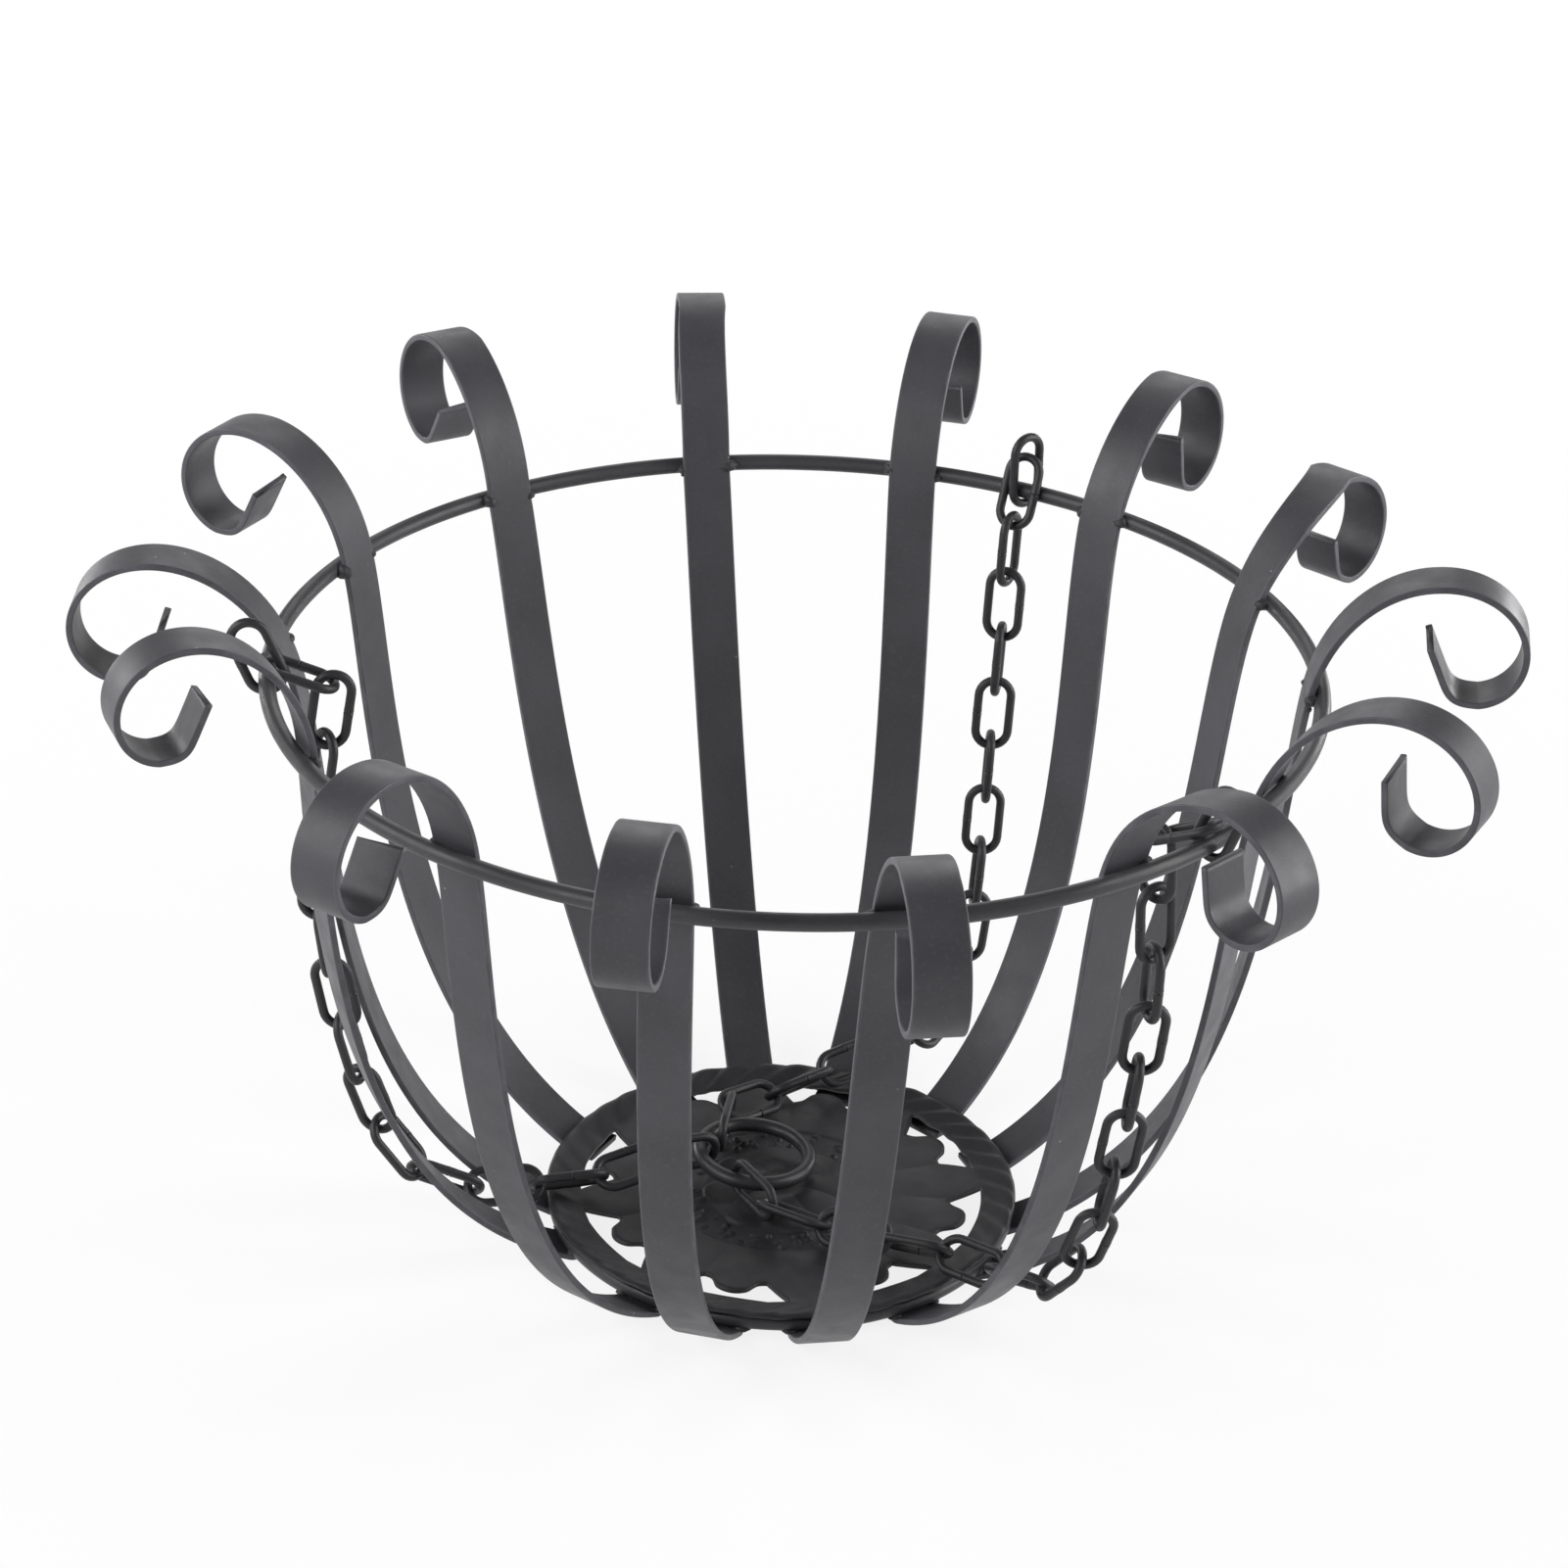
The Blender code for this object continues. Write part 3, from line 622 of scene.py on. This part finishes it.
def link_mesh(name):
    """One link: round wire with its butt weld in the middle of one leg."""
    loop = []
    swell = []
    seam = [-1.0, -0.7, -0.45, -0.25, -0.12, -0.05, 0.0, 0.05, 0.12, 0.25, 0.45, 0.7, 1.0]
    bulge = [1.0, 1.01, 1.03, 1.06, 1.07, 1.02, 0.70, 1.02, 1.07, 1.06, 1.03, 1.01, 1.0]
    for end in (1, -1):
        for step in range(link_bend_steps + 1):
            angle = math.pi * step / link_bend_steps
            loop.append(Vector((end * bight_radius * math.cos(angle), 0,
                                end * (link_leg + bight_radius * math.sin(angle)))))
            swell.append(1.0)
        if end == 1:
            for share, grow in zip(seam, bulge):
                loop.append(Vector((-bight_radius, 0, -share * link_leg * seam_reach_share)))
                swell.append(grow)
        else:
            loop.append(Vector((bight_radius, 0, -link_leg * leg_stop_share)))
            loop.append(Vector((bight_radius, 0, link_leg * leg_stop_share)))
            swell += [1.0, 1.0]
    return wire_loop_mesh(name, loop, link_wire, link_sides, swell)


def circle(radius, segments, height):
    return [radius * outward(360 * step / segments) + height * up for step in range(segments)]


# Weld lumps
lump_share = 0.22
lump_scale = 1.7
pimple_share = 0.08
pimple_scale = 4.5
lump_shift = 1.37
bead_edge_share = 0.3


def weld_bead(target, middle, axes, sizes, seed):
    """Adds one lump of weld metal to a mesh under construction."""
    ball = bmesh.ops.create_icosphere(target, subdivisions=3, radius=1.0)
    for vertex in ball["verts"]:
        co = vertex.co
        lump = 1 + lump_share * noise.noise(co * lump_scale + Vector((seed, seed * 0.3, 0)))
        lump += pimple_share * noise.noise(co * pimple_scale + Vector((seed, 0, seed)))
        co = Vector([value * size * lump for value, size in zip(co, sizes)])
        vertex.co = middle + axes @ co


def beads_object(name, places, material):
    """All weld lumps of one kind as one piece."""
    lumps = bmesh.new()
    for index, (middle, axes, sizes) in enumerate(places):
        weld_bead(lumps, middle, axes, sizes, index * lump_shift + len(name))
    mesh = bpy.data.meshes.new(name)
    lumps.to_mesh(mesh)
    lumps.free()
    layer = mesh.attributes.new("edge", "FLOAT", "POINT")
    layer.data.foreach_set("value", [bead_edge_share] * len(mesh.vertices))
    mesh.shade_smooth()
    return new_object(name, mesh, material, "basket", [])


# Rosette plate: each reach is a pair of radii between which a form starts or ends
plate_skin = 0.0001
merge_gap = 0.00002
button_groove = 0.0008
groove_start_reach = (0.004, 0.0052)
groove_end_reach = (0.0056, 0.0075)
inner_petal_lift = 0.0007
inner_petal_tip = 0.0245
inner_petal_notch = 0.006
inner_petal_start_reach = (0.005, 0.012)
inner_petal_tip_before = 0.0012
inner_petal_tip_after = 0.0004
dome_fullness = 0.8
crown_fullness = 0.7
ridge_fullness = 0.7
seed_fullness = 1.1
seed_draw = 5
seed_rings = ((0.0262, 26), (0.0292, 29), (0.0320, 32))
seed_turn_share = 0.35
seed_wander = 0.0009
seed_sizes = (0.0011, 0.0019)
seed_heights = (0.0004, 0.0012)
seed_bed_depth = 0.0004
seed_bed_start_reach = (0.0235, 0.025)
seed_bed_end_reach = (0.0335, 0.035)
crown_lift = 0.00055
crown_mean_share = 0.6
crown_start_reach = (0.034, 0.046)
rope_fold_count = 44
rope_slant_share = 1.2
rope_skew = 1.7
rope_bed_depth = 0.0003
rope_height = 0.0011
rope_least_share = 0.4
deep_side_turn = 62.0
deep_side_range = (-0.2, 0.5)
rolled_from_share = 0.72
rolled_share = 0.28
rolled_drop = 0.0012
crease_drop = 0.0005


def cut_shares_at(phase):
    """The inner edge of the gap at a share of the petal pitch, or None on a petal's tip."""
    knots = [(-cutout_ends_share, 1.0), *cutout_shares, (cutout_ends_share, 1.0)]
    for index, ((a, ra), (b, rb)) in enumerate(zip(knots, knots[1:])):
        if a <= phase <= b:
            share = (phase - a) / (b - a)
            if 0 < index < len(knots) - 2:
                slope_a = (rb - knots[index - 1][1]) / (b - knots[index - 1][0])
                slope_b = (knots[index + 2][1] - ra) / (knots[index + 2][0] - a)
                if index == 1:
                    slope_a = (rb - ra) / (b - a)
                if index == len(knots) - 3:
                    slope_b = (rb - ra) / (b - a)
                span = b - a
                return (ra * (1 + 2 * share) * (1 - share) ** 2
                        + rb * share ** 2 * (3 - 2 * share)
                        + slope_a * span * share * (1 - share) ** 2
                        - slope_b * span * share ** 2 * (1 - share))
            return ra + (rb - ra) * share
    return None


def ease(value, start, end):
    """0 before the start, 1 after the end, smooth between."""
    share = min(max((value - start) / (end - start), 0), 1)
    return share * share * (3 - 2 * share)


def seed_bumps():
    """Places and sizes of the seeds stamped round the inner flower."""
    dice = random.Random(seed_draw)
    bumps = []
    for ring, (radius, count) in enumerate(seed_rings):
        for step in range(count):
            shift = dice.uniform(-seed_turn_share, seed_turn_share)
            turn = 360 * (step + 0.5 * ring + shift) / count
            place = (radius + dice.uniform(-seed_wander, seed_wander)) * outward(turn)
            bumps.append((place.x, place.y, dice.uniform(*seed_sizes),
                          dice.uniform(*seed_heights)))
    return bumps


seeds = seed_bumps()


def rosette_lift(radius, turn):
    """The pressed relief of the button, inner flower, seeds and petals."""
    lift = 0.0
    if radius < dome_radius:
        lift += dome_height * (1 - (radius / dome_radius) ** 2) ** dome_fullness
    pitch = 360 / petal_count
    phase = ((turn - first_petal_turn) / pitch) % 1 - 0.5
    inner = ((turn - first_petal_turn) / pitch + 0.5) % 1 - 0.5
    tip = inner_petal_tip - inner_petal_notch * (2 * inner) ** 2
    lift += (inner_petal_lift * (1 - (2 * inner) ** 2) * ease(radius, *inner_petal_start_reach)
             * (1 - ease(radius, tip - inner_petal_tip_before, tip + inner_petal_tip_after)))
    lift -= (button_groove * ease(radius, *groove_start_reach)
             * (1 - ease(radius, *groove_end_reach)))
    if seed_bed_start_reach[0] < radius < seed_bed_end_reach[1]:
        x = radius * math.cos(math.radians(turn))
        y = radius * math.sin(math.radians(turn))
        top = 0.0
        for seed_x, seed_y, size, height in seeds:
            gap = (x - seed_x) ** 2 + (y - seed_y) ** 2
            if gap < size * size:
                top = max(top, height * (1 - gap / (size * size)) ** seed_fullness)
        lift += top - (seed_bed_depth * ease(radius, *seed_bed_start_reach)
                       * (1 - ease(radius, *seed_bed_end_reach)))
    crown = abs(math.cos(2 * math.pi * phase)) ** crown_fullness
    lift += crown_lift * (crown - crown_mean_share) * ease(radius, *crown_start_reach)
    return lift


def rope_folds(across, turn):
    """How high a fold of the rope stands, from 0 in the crease to 1 on its back."""
    phase = (rope_fold_count * turn / 360 + rope_slant_share * across) % 1
    return math.sin(math.pi * phase ** rope_skew)


def rope_lift(across, turn):
    """The rope pressed into the border, deeper on one side, with its outer edge rolled down."""
    ridge = math.sin(math.pi * min(max(across, 0), 1)) ** ridge_fullness
    facing = math.cos(math.radians(turn - deep_side_turn))
    depth = rope_least_share + (1 - rope_least_share) * ease(facing, *deep_side_range)
    fold = rope_folds(across, turn)
    edge = max(0, (across - rolled_from_share) / rolled_share) ** 2
    return (-rope_bed_depth * ridge + rope_height * ridge * depth * fold - rolled_drop * edge
            - crease_drop * depth * edge * (1 - fold))


def rosette_mesh(name):
    """The pressed rosette as one sheet, thickened downwards."""
    spokes = 704 if fine else 528
    middle = plate_top - plate_skin
    pitch = 360 / petal_count
    sheet = bmesh.new()
    bands = [(0.0, 0.022, 16), (0.022, 0.036, 28)]
    far_rows = 10
    border_rows = 14
    rows = []
    for spoke in range(spokes):
        turn = 360 * spoke / spokes
        phase = (turn - first_petal_turn) / pitch % 1 - 0.5
        share = cut_shares_at(phase)
        edge = flat_radius * (share if share is not None else 1.0)
        radii = [start + (end - start) * step / count
                 for start, end, count in [*bands, (bands[-1][1], edge, far_rows)]
                 for step in range(1, count + 1)]
        row = [sheet.verts.new(radius * outward(turn)
                               + (middle + rosette_lift(radius, turn)) * up) for radius in radii]
        rim = []
        for step in range(border_rows + 1):
            across = step / border_rows
            radius = flat_radius + (plate_outer - flat_radius) * across
            height = (middle + rosette_lift(flat_radius, turn) * (1 - across)
                      + (radius - flat_radius) * border_rise + rope_lift(across, turn))
            rim.append(sheet.verts.new(radius * outward(turn) + height * up))
        rows.append((row, rim))
    hub = sheet.verts.new((0, 0, middle + rosette_lift(0, 0)))
    for (row, rim), (next_row, next_rim) in zip(rows, [*rows[1:], rows[0]]):
        sheet.faces.new((hub, row[0], next_row[0]))
        for line, next_line in ((row, next_row), (rim, next_rim)):
            for a, b, c, d in zip(line, line[1:], next_line[1:], next_line):
                sheet.faces.new((a, b, c, d))
    bmesh.ops.remove_doubles(sheet, verts=sheet.verts, dist=merge_gap)
    bmesh.ops.recalc_face_normals(sheet, faces=sheet.faces)
    mesh = bpy.data.meshes.new(name)
    sheet.to_mesh(mesh)
    sheet.free()
    mesh.shade_smooth()
    return mesh


# Materials: each share is a tint of the paint's own colour
paint_specular = 0.33
dark_share = 0.86
light_share = 1.16
speckle_share = 1.6
worn_share = 2.1
dust_colour = (0.28, 0.28, 0.29)
dust_cells = 260
dust_strength = 0.75
smoother = 0.06
rougher = 0.08
grain_height = 0.0001
dent_height = 0.0003


def math_node(tree, operation, first, second):
    """The output of a math node fed by two outputs, or by an output and a number."""
    node = tree.nodes.new("ShaderNodeMath")
    node.operation = operation
    for socket, value in zip(node.inputs, (first, second)):
        if isinstance(value, float):
            socket.default_value = value
        else:
            tree.links.new(value, socket)
    return node.outputs["Value"]


def paint(name, colour, roughness, grain, dust=1.0):
    """Satin paint: mottled colour, fine grain, lighter worn edges and a little dust."""
    material = bpy.data.materials.new(name)
    material.use_nodes = True
    nodes = material.node_tree.nodes
    wires = material.node_tree.links
    shader = nodes["Principled BSDF"]
    shader.inputs["Specular IOR Level"].default_value = paint_specular
    where = nodes.new("ShaderNodeTexCoord")

    def noise_node(scale, detail, rough=0.5):
        node = nodes.new("ShaderNodeTexNoise")
        node.inputs["Scale"].default_value = scale
        node.inputs["Detail"].default_value = detail
        node.inputs["Roughness"].default_value = rough
        wires.new(where.outputs["Object"], node.inputs["Vector"])
        return node

    def ramp(source, low, high, start, end):
        node = nodes.new("ShaderNodeMapRange")
        node.inputs["From Min"].default_value = low
        node.inputs["From Max"].default_value = high
        node.inputs["To Min"].default_value = start
        node.inputs["To Max"].default_value = end
        wires.new(source, node.inputs["Value"])
        return node.outputs["Result"]

    def mix(factor, a, b):
        node = nodes.new("ShaderNodeMix")
        node.data_type = "RGBA"
        wires.new(factor, node.inputs["Factor"])
        for key, value in (("A", a), ("B", b)):
            if isinstance(value, tuple):
                node.inputs[key].default_value = (*value, 1)
            else:
                wires.new(value, node.inputs[key])
        return node.outputs["Result"]

    def tint(share):
        return tuple(min(c * share, 1) for c in colour)

    cloud = noise_node(scale=28, detail=4)
    speckle = noise_node(scale=900, detail=2)
    shade = mix(ramp(cloud.outputs["Fac"], 0.35, 0.68, 0, 1), tint(dark_share), tint(light_share))
    shade = mix(ramp(speckle.outputs["Fac"], 0.55, 0.75, 0, 0.35), shade, tint(speckle_share))
    edge = nodes.new("ShaderNodeAttribute")
    edge.attribute_name = "edge"
    patches = noise_node(scale=120, detail=3)
    worn = math_node(material.node_tree, "MULTIPLY", edge.outputs["Fac"],
                     ramp(patches.outputs["Fac"], 0.4, 0.65, 0.15, 0.6))
    shade = mix(worn, shade, tint(worn_share))
    cells = nodes.new("ShaderNodeTexVoronoi")
    cells.feature = "F1"
    cells.inputs["Scale"].default_value = dust_cells
    wires.new(where.outputs["Object"], cells.inputs["Vector"])
    speck = ramp(cells.outputs["Distance"], 0.05, 0.11, 1, 0)
    sparse = nodes.new("ShaderNodeSeparateColor")
    wires.new(cells.outputs["Color"], sparse.inputs["Color"])
    few = ramp(sparse.outputs["Red"], 0.955, 0.965, 0, dust_strength * dust)
    shade = mix(math_node(material.node_tree, "MULTIPLY", speck, few), shade, dust_colour)
    wires.new(shade, shader.inputs["Base Color"])
    wires.new(ramp(patches.outputs["Fac"], 0.3, 0.7, roughness - smoother, roughness + rougher),
              shader.inputs["Roughness"])
    peel = noise_node(scale=grain, detail=3, rough=0.6)
    bump = nodes.new("ShaderNodeBump")
    bump.inputs["Strength"].default_value = 0.35
    bump.inputs["Distance"].default_value = grain_height
    wires.new(peel.outputs["Fac"], bump.inputs["Height"])
    dents = noise_node(scale=90, detail=2)
    swell = nodes.new("ShaderNodeBump")
    swell.inputs["Strength"].default_value = 0.25
    swell.inputs["Distance"].default_value = dent_height
    wires.new(dents.outputs["Fac"], swell.inputs["Height"])
    wires.new(bump.outputs["Normal"], swell.inputs["Normal"])
    wires.new(swell.outputs["Normal"], shader.inputs["Normal"])
    material.diffuse_color = (*colour, 1)
    return material


strap_paint = paint("strap paint", (0.055, 0.054, 0.061), roughness=0.44, grain=1500)
wire_paint = paint("bar paint", (0.044, 0.043, 0.047), roughness=0.42, grain=1300)
plate_paint = paint("plate paint", (0.023, 0.022, 0.025), roughness=0.50, grain=1700, dust=1.6)
chain_paint = paint("chain paint", (0.024, 0.023, 0.026), roughness=0.42, grain=1300, dust=0.5)
ring_paint = paint("ring paint", (0.027, 0.026, 0.029), roughness=0.38, grain=1200, dust=0.6)
weld_paint = paint("weld paint", (0.028, 0.027, 0.030), roughness=0.50, grain=900, dust=0.6)

# The straps in place
for index, (offset, *shape) in enumerate(strap_shares):
    number = f"{index + 1:02d}"
    bar = strap_mesh(f"strap_{number}_bar", strap_turn(index, offset), shape, index + 1)
    new_object(f"strap_{number}_bar", bar, strap_paint, "basket", [f"strap_{number}"])

# Rim wire, base hoop and hanging ring
rim = wire_loop_mesh("rim_bar", circle(rim_radius, rim_segments, rim_height), rim_wire,
                     bar_sides)
new_object("rim_bar", rim, wire_paint, "basket", ["rim_wire"])
hoop = wire_loop_mesh("hoop_bar", circle(hoop_radius, hoop_segments, hoop_height), hoop_wire,
                      bar_sides)
new_object("hoop_bar", hoop, wire_paint, "basket", ["base_hoop"])

ring_seam = 128.0
seam_reach = 9.0
ring_steps = 136
seam_swell = [(0.0, 0.80), (0.5, 0.99), (1.2, 1.02), (3.5, 1.02), (6.0, 1.01), (seam_reach, 1.0)]
ring_turns = list(seam_swell)
ring_turns += [(seam_reach + (360 - 2 * seam_reach) * step / ring_steps, 1.0)
               for step in range(1, ring_steps)]
ring_turns += [(360 - turn, grow) for turn, grow in seam_swell[:0:-1]]
ring_points = [ring_radius * outward(ring_seam + turn) for turn, _ in ring_turns]
ring_grows = [grow for _, grow in ring_turns]
ring = wire_loop_mesh("ring_bar", ring_points, ring_wire, bar_sides, ring_grows)
new_object("ring_bar", ring, ring_paint, "ring", ["hanging_ring"], ring_frame())

# Chains: all links share one mesh, some turned so that their welds face the other way
shared_link = link_mesh("chain_link_wire")
shared_link.materials.append(chain_paint)


def link_body(side, number):
    """The body that carries a link."""
    if number == 1:
        return f"{side}_rim_link"
    if number == first_hanging_link or last_twisting_link < number <= single_links:
        return f"{side}_chain_swing"
    if first_hanging_link < number <= last_twisting_link:
        return f"{side}_link_{number:02d}"
    return "basket"


for side, plan in chains.items():
    frames = chain_frames(plan)
    spinner = random.Random(len(side) * 7 + 3)
    for number, matrix in enumerate(frames, 1):
        node = f"{side}_chain_link_{number:02d}"
        if number > single_links:
            node = f"{side}_chain_lying_links"
        if number == len(frames):
            node = f"{side}_chain_end_link"
        flip = Matrix.Rotation(math.pi * spinner.randint(0, 1), 4, "Z")
        new_object(f"{side}_link_wire_{number:02d}", shared_link, chain_paint,
                   link_body(side, number), [node], matrix @ flip)

# Rosette
rosette = new_object("rosette_pressing", rosette_mesh("rosette_pressing"), plate_paint,
                     "basket", ["rosette_plate"])
sheet = rosette.modifiers.new("sheet", "SOLIDIFY")
sheet.thickness = plate_thickness - plate_skin
sheet.offset = -1

# Welds where the straps cross the rim, and at their feet: each span is a draw's least and most
weld_seed = 40
bare_side_share = 0.12
bead_inset_span = (0.0, 0.0008)
bead_depth = 0.0024
bead_depth_span = (0.0, 0.0014)
bead_rise_span = (-0.001, 0.001)
rim_bead_spans = ((0.0018, 0.0028), (0.0016, 0.0030), (0.0014, 0.0024))
drop_counts = (1, 4)
drop_rise_span = (-0.0028, 0.0014)
drop_depth_span = (0.0032, 0.0042)
drop_slope = 0.26
drop_outset_span = (-0.0003, 0.0002)
drop_size_span = (0.0004, 0.0008)
drop_stretch = 1.1
foot_bead_drop = 0.0022
foot_bead_inset = 0.0003
foot_bead_spans = ((0.0018, 0.0026), (0.0016, 0.0028), (0.0009, 0.0012))


def bead_sizes(dice, spans):
    """Half sizes of a lump, drawn from their spans."""
    return tuple(dice.uniform(*span) for span in spans)


def rim_weld(dice, turn, side):
    """The bead at one edge of a strap on the rim wire, and the drops on that edge near it."""
    out = outward(turn)
    across = sideways(turn)
    axes = Matrix((out, across, up)).transposed()
    place = rim_radius * out + rim_height * up
    place += side * (strap_width / 2 - dice.uniform(*bead_inset_span)) * across
    place -= out * (bead_depth + dice.uniform(*bead_depth_span))
    place += up * dice.uniform(*bead_rise_span)
    places = [(place, axes, bead_sizes(dice, rim_bead_spans))]
    for _ in range(dice.randint(*drop_counts)):
        rise = dice.uniform(*drop_rise_span)
        drop = (rim_radius - dice.uniform(*drop_depth_span) + drop_slope * rise) * out
        drop += side * (strap_width / 2 + dice.uniform(*drop_outset_span)) * across
        drop += (rim_height + rise) * up
        size = dice.uniform(*drop_size_span)
        places.append((drop, axes, (size, size * drop_stretch, size)))
    return places


def foot_weld(dice, turn, side):
    """The bead low on the hoop at one edge of a strap's foot."""
    place = hoop_radius * outward(turn) + (hoop_height - foot_bead_drop) * up
    place += side * (strap_width / 2 - foot_bead_inset) * sideways(turn)
    axes = Matrix((outward(turn), sideways(turn), up)).transposed()
    return place, axes, bead_sizes(dice, foot_bead_spans)


rim_places = []
foot_places = []
for index, (offset, *shape) in enumerate(strap_shares):
    dice = random.Random(index + weld_seed)
    turn = strap_turn(index, offset)
    for side in (-1, 1):
        if dice.random() >= bare_side_share:
            rim_places += rim_weld(dice, turn, side)
    for side in (-1, 1):
        foot_places.append(foot_weld(dice, turn + shape[4], side))
beads_object("rim_weld_beads", rim_places, weld_paint)
beads_object("foot_weld_beads", foot_places, weld_paint)

# Floor: white as a background, with a faint shadow left in it near the basket
floor_reach = 6
floor_drop = 0.0002
floor_grey = 0.92
glow_near_share = 0.84
glow_near = 0.2
glow_far = 0.9


def background_ray(tree):
    """1 for rays that show the background: the camera's, mirrored and passed on."""
    path = tree.nodes.new("ShaderNodeLightPath")
    seen = math_node(tree, "MAXIMUM", path.outputs["Is Camera Ray"],
                     path.outputs["Is Glossy Ray"])
    return math_node(tree, "MAXIMUM", seen, path.outputs["Is Transmission Ray"])


def smooth_range(tree, source, low, high, start, end):
    """Maps low to start and high to end, with a soft change between."""
    node = tree.nodes.new("ShaderNodeMapRange")
    node.interpolation_type = "SMOOTHSTEP"
    node.inputs["From Min"].default_value = low
    node.inputs["From Max"].default_value = high
    node.inputs["To Min"].default_value = start
    node.inputs["To Max"].default_value = end
    tree.links.new(source, node.inputs["Value"])
    return node.outputs["Result"]


def floor_paint():
    """Pale floor that glows white as a background, less so under the basket."""
    material = bpy.data.materials.new("floor")
    material.use_nodes = True
    tree = material.node_tree
    nodes = tree.nodes
    wires = tree.links
    shader = nodes["Principled BSDF"]
    shader.inputs["Base Color"].default_value = (floor_grey, floor_grey, floor_grey, 1)
    shader.inputs["Roughness"].default_value = 0.9
    shader.inputs["Specular IOR Level"].default_value = 0.1
    glow = nodes.new("ShaderNodeEmission")
    glow.inputs["Color"].default_value = (1, 1, 1, 1)
    glow.inputs["Strength"].default_value = 1.0
    where = nodes.new("ShaderNodeTexCoord")
    away = nodes.new("ShaderNodeVectorMath")
    away.operation = "LENGTH"
    wires.new(where.outputs["Object"], away.inputs[0])
    reach = smooth_range(tree, away.outputs["Value"], glow_near, glow_far, glow_near_share, 1.0)
    blend = nodes.new("ShaderNodeMixShader")
    wires.new(math_node(tree, "MULTIPLY", background_ray(tree), reach), blend.inputs["Fac"])
    wires.new(shader.outputs["BSDF"], blend.inputs[1])
    wires.new(glow.outputs["Emission"], blend.inputs[2])
    wires.new(blend.outputs["Shader"], nodes["Material Output"].inputs["Surface"])
    return material


floor_mesh = bpy.data.meshes.new("floor")
floor_corners = [(x * floor_reach, y * floor_reach, 0) for x, y in ((-1, -1), (1, -1), (1, 1), (-1, 1))]
floor_mesh.from_pydata(floor_corners, [], [(0, 1, 2, 3)])
floor = bpy.data.objects.new("floor", floor_mesh)
bpy.context.scene.collection.objects.link(floor)
floor.location.z = -floor_drop
floor_mesh.materials.append(floor_paint())

# World: white at the horizon, darker overhead, and dimmer as light than as a background
sky_low = 0.1
sky_high = 0.4
sky_overhead = 0.15
light_share_of_sky = 0.35

world = bpy.data.worlds.new("studio")
bpy.context.scene.world = world
world.use_nodes = True
sky_tree = world.node_tree
where = sky_tree.nodes.new("ShaderNodeTexCoord")
parts = sky_tree.nodes.new("ShaderNodeSeparateXYZ")
sky_tree.links.new(where.outputs["Generated"], parts.inputs["Vector"])
sky = smooth_range(sky_tree, parts.outputs["Z"], sky_low, sky_high, 1.0, sky_overhead)
light = sky_tree.nodes["Background"]
light.inputs["Color"].default_value = (1, 1, 1, 1)
sky_tree.links.new(math_node(sky_tree, "MULTIPLY", sky, light_share_of_sky),
                   light.inputs["Strength"])
backdrop = sky_tree.nodes.new("ShaderNodeBackground")
backdrop.inputs["Color"].default_value = (1, 1, 1, 1)
sky_tree.links.new(sky, backdrop.inputs["Strength"])
choose = sky_tree.nodes.new("ShaderNodeMixShader")
sky_tree.links.new(background_ray(sky_tree), choose.inputs["Fac"])
sky_tree.links.new(light.outputs["Background"], choose.inputs[1])
sky_tree.links.new(backdrop.outputs["Background"], choose.inputs[2])
sky_tree.links.new(choose.outputs["Shader"], sky_tree.nodes["World Output"].inputs["Surface"])

# Lights: wide ones higher up, small ones low down, with their powers in watts
wide_light = 1.0
small_light = 0.45
aim = (0, 0, 0.1)


def softbox(name, place, size, power):
    """A square soft light aimed at the basket."""
    lamp = bpy.data.lights.new(name, "AREA")
    lamp.shape = "SQUARE"
    lamp.size = size
    lamp.energy = power
    item = bpy.data.objects.new(name, lamp)
    item.location = place
    item.rotation_euler = (Vector(aim) - Vector(place)).to_track_quat("-Z", "Y").to_euler()
    bpy.context.scene.collection.objects.link(item)


softbox("right softbox", (1.5, 0.0, 1.0), wide_light, power=21)
softbox("left softbox", (-1.5, 0.0, 1.0), wide_light, power=15)
softbox("left front softbox", (-1.15, -0.97, 1.0), wide_light, power=15)
softbox("rear softbox", (0.0, 1.5, 1.0), wide_light, power=5)
softbox("low right softbox", (1.7, 0.0, 0.26), small_light, power=10)
softbox("low rear right softbox", (1.2, 1.2, 0.26), small_light, power=5)
softbox("low rear left softbox", (-1.2, 1.2, 0.26), small_light, power=5)

# Camera at the photograph's viewing angle, from a fit to the photograph: angles in radians
photo_pixels = 1601
focal_pixels = 4375.47176
sensor_width = 36
pitch = 0.474822536
yaw = -0.00215187
roll = 0.02682002
elevation = 0.573314568
distance = 1.33654507
forward = Vector((math.sin(yaw) * math.cos(pitch), math.cos(yaw) * math.cos(pitch),
                  -math.sin(pitch)))
level = Vector((math.cos(yaw), -math.sin(yaw), 0))
above = level.cross(forward)
right = math.cos(roll) * level + math.sin(roll) * above
top = math.cos(roll) * above - math.sin(roll) * level
lens = bpy.data.cameras.new("camera")
lens.sensor_width = sensor_width
lens.lens = focal_pixels * sensor_width / photo_pixels
lens.clip_start = 0.05
lens.clip_end = 50
camera = bpy.data.objects.new("camera", lens)
view = Matrix((right, top, -forward)).transposed().to_4x4()
view.translation = distance * Vector((0, -math.cos(elevation), math.sin(elevation)))
camera.matrix_world = view
bpy.context.scene.collection.objects.link(camera)
bpy.context.scene.camera = camera
bpy.context.scene.view_settings.view_transform = "Standard"
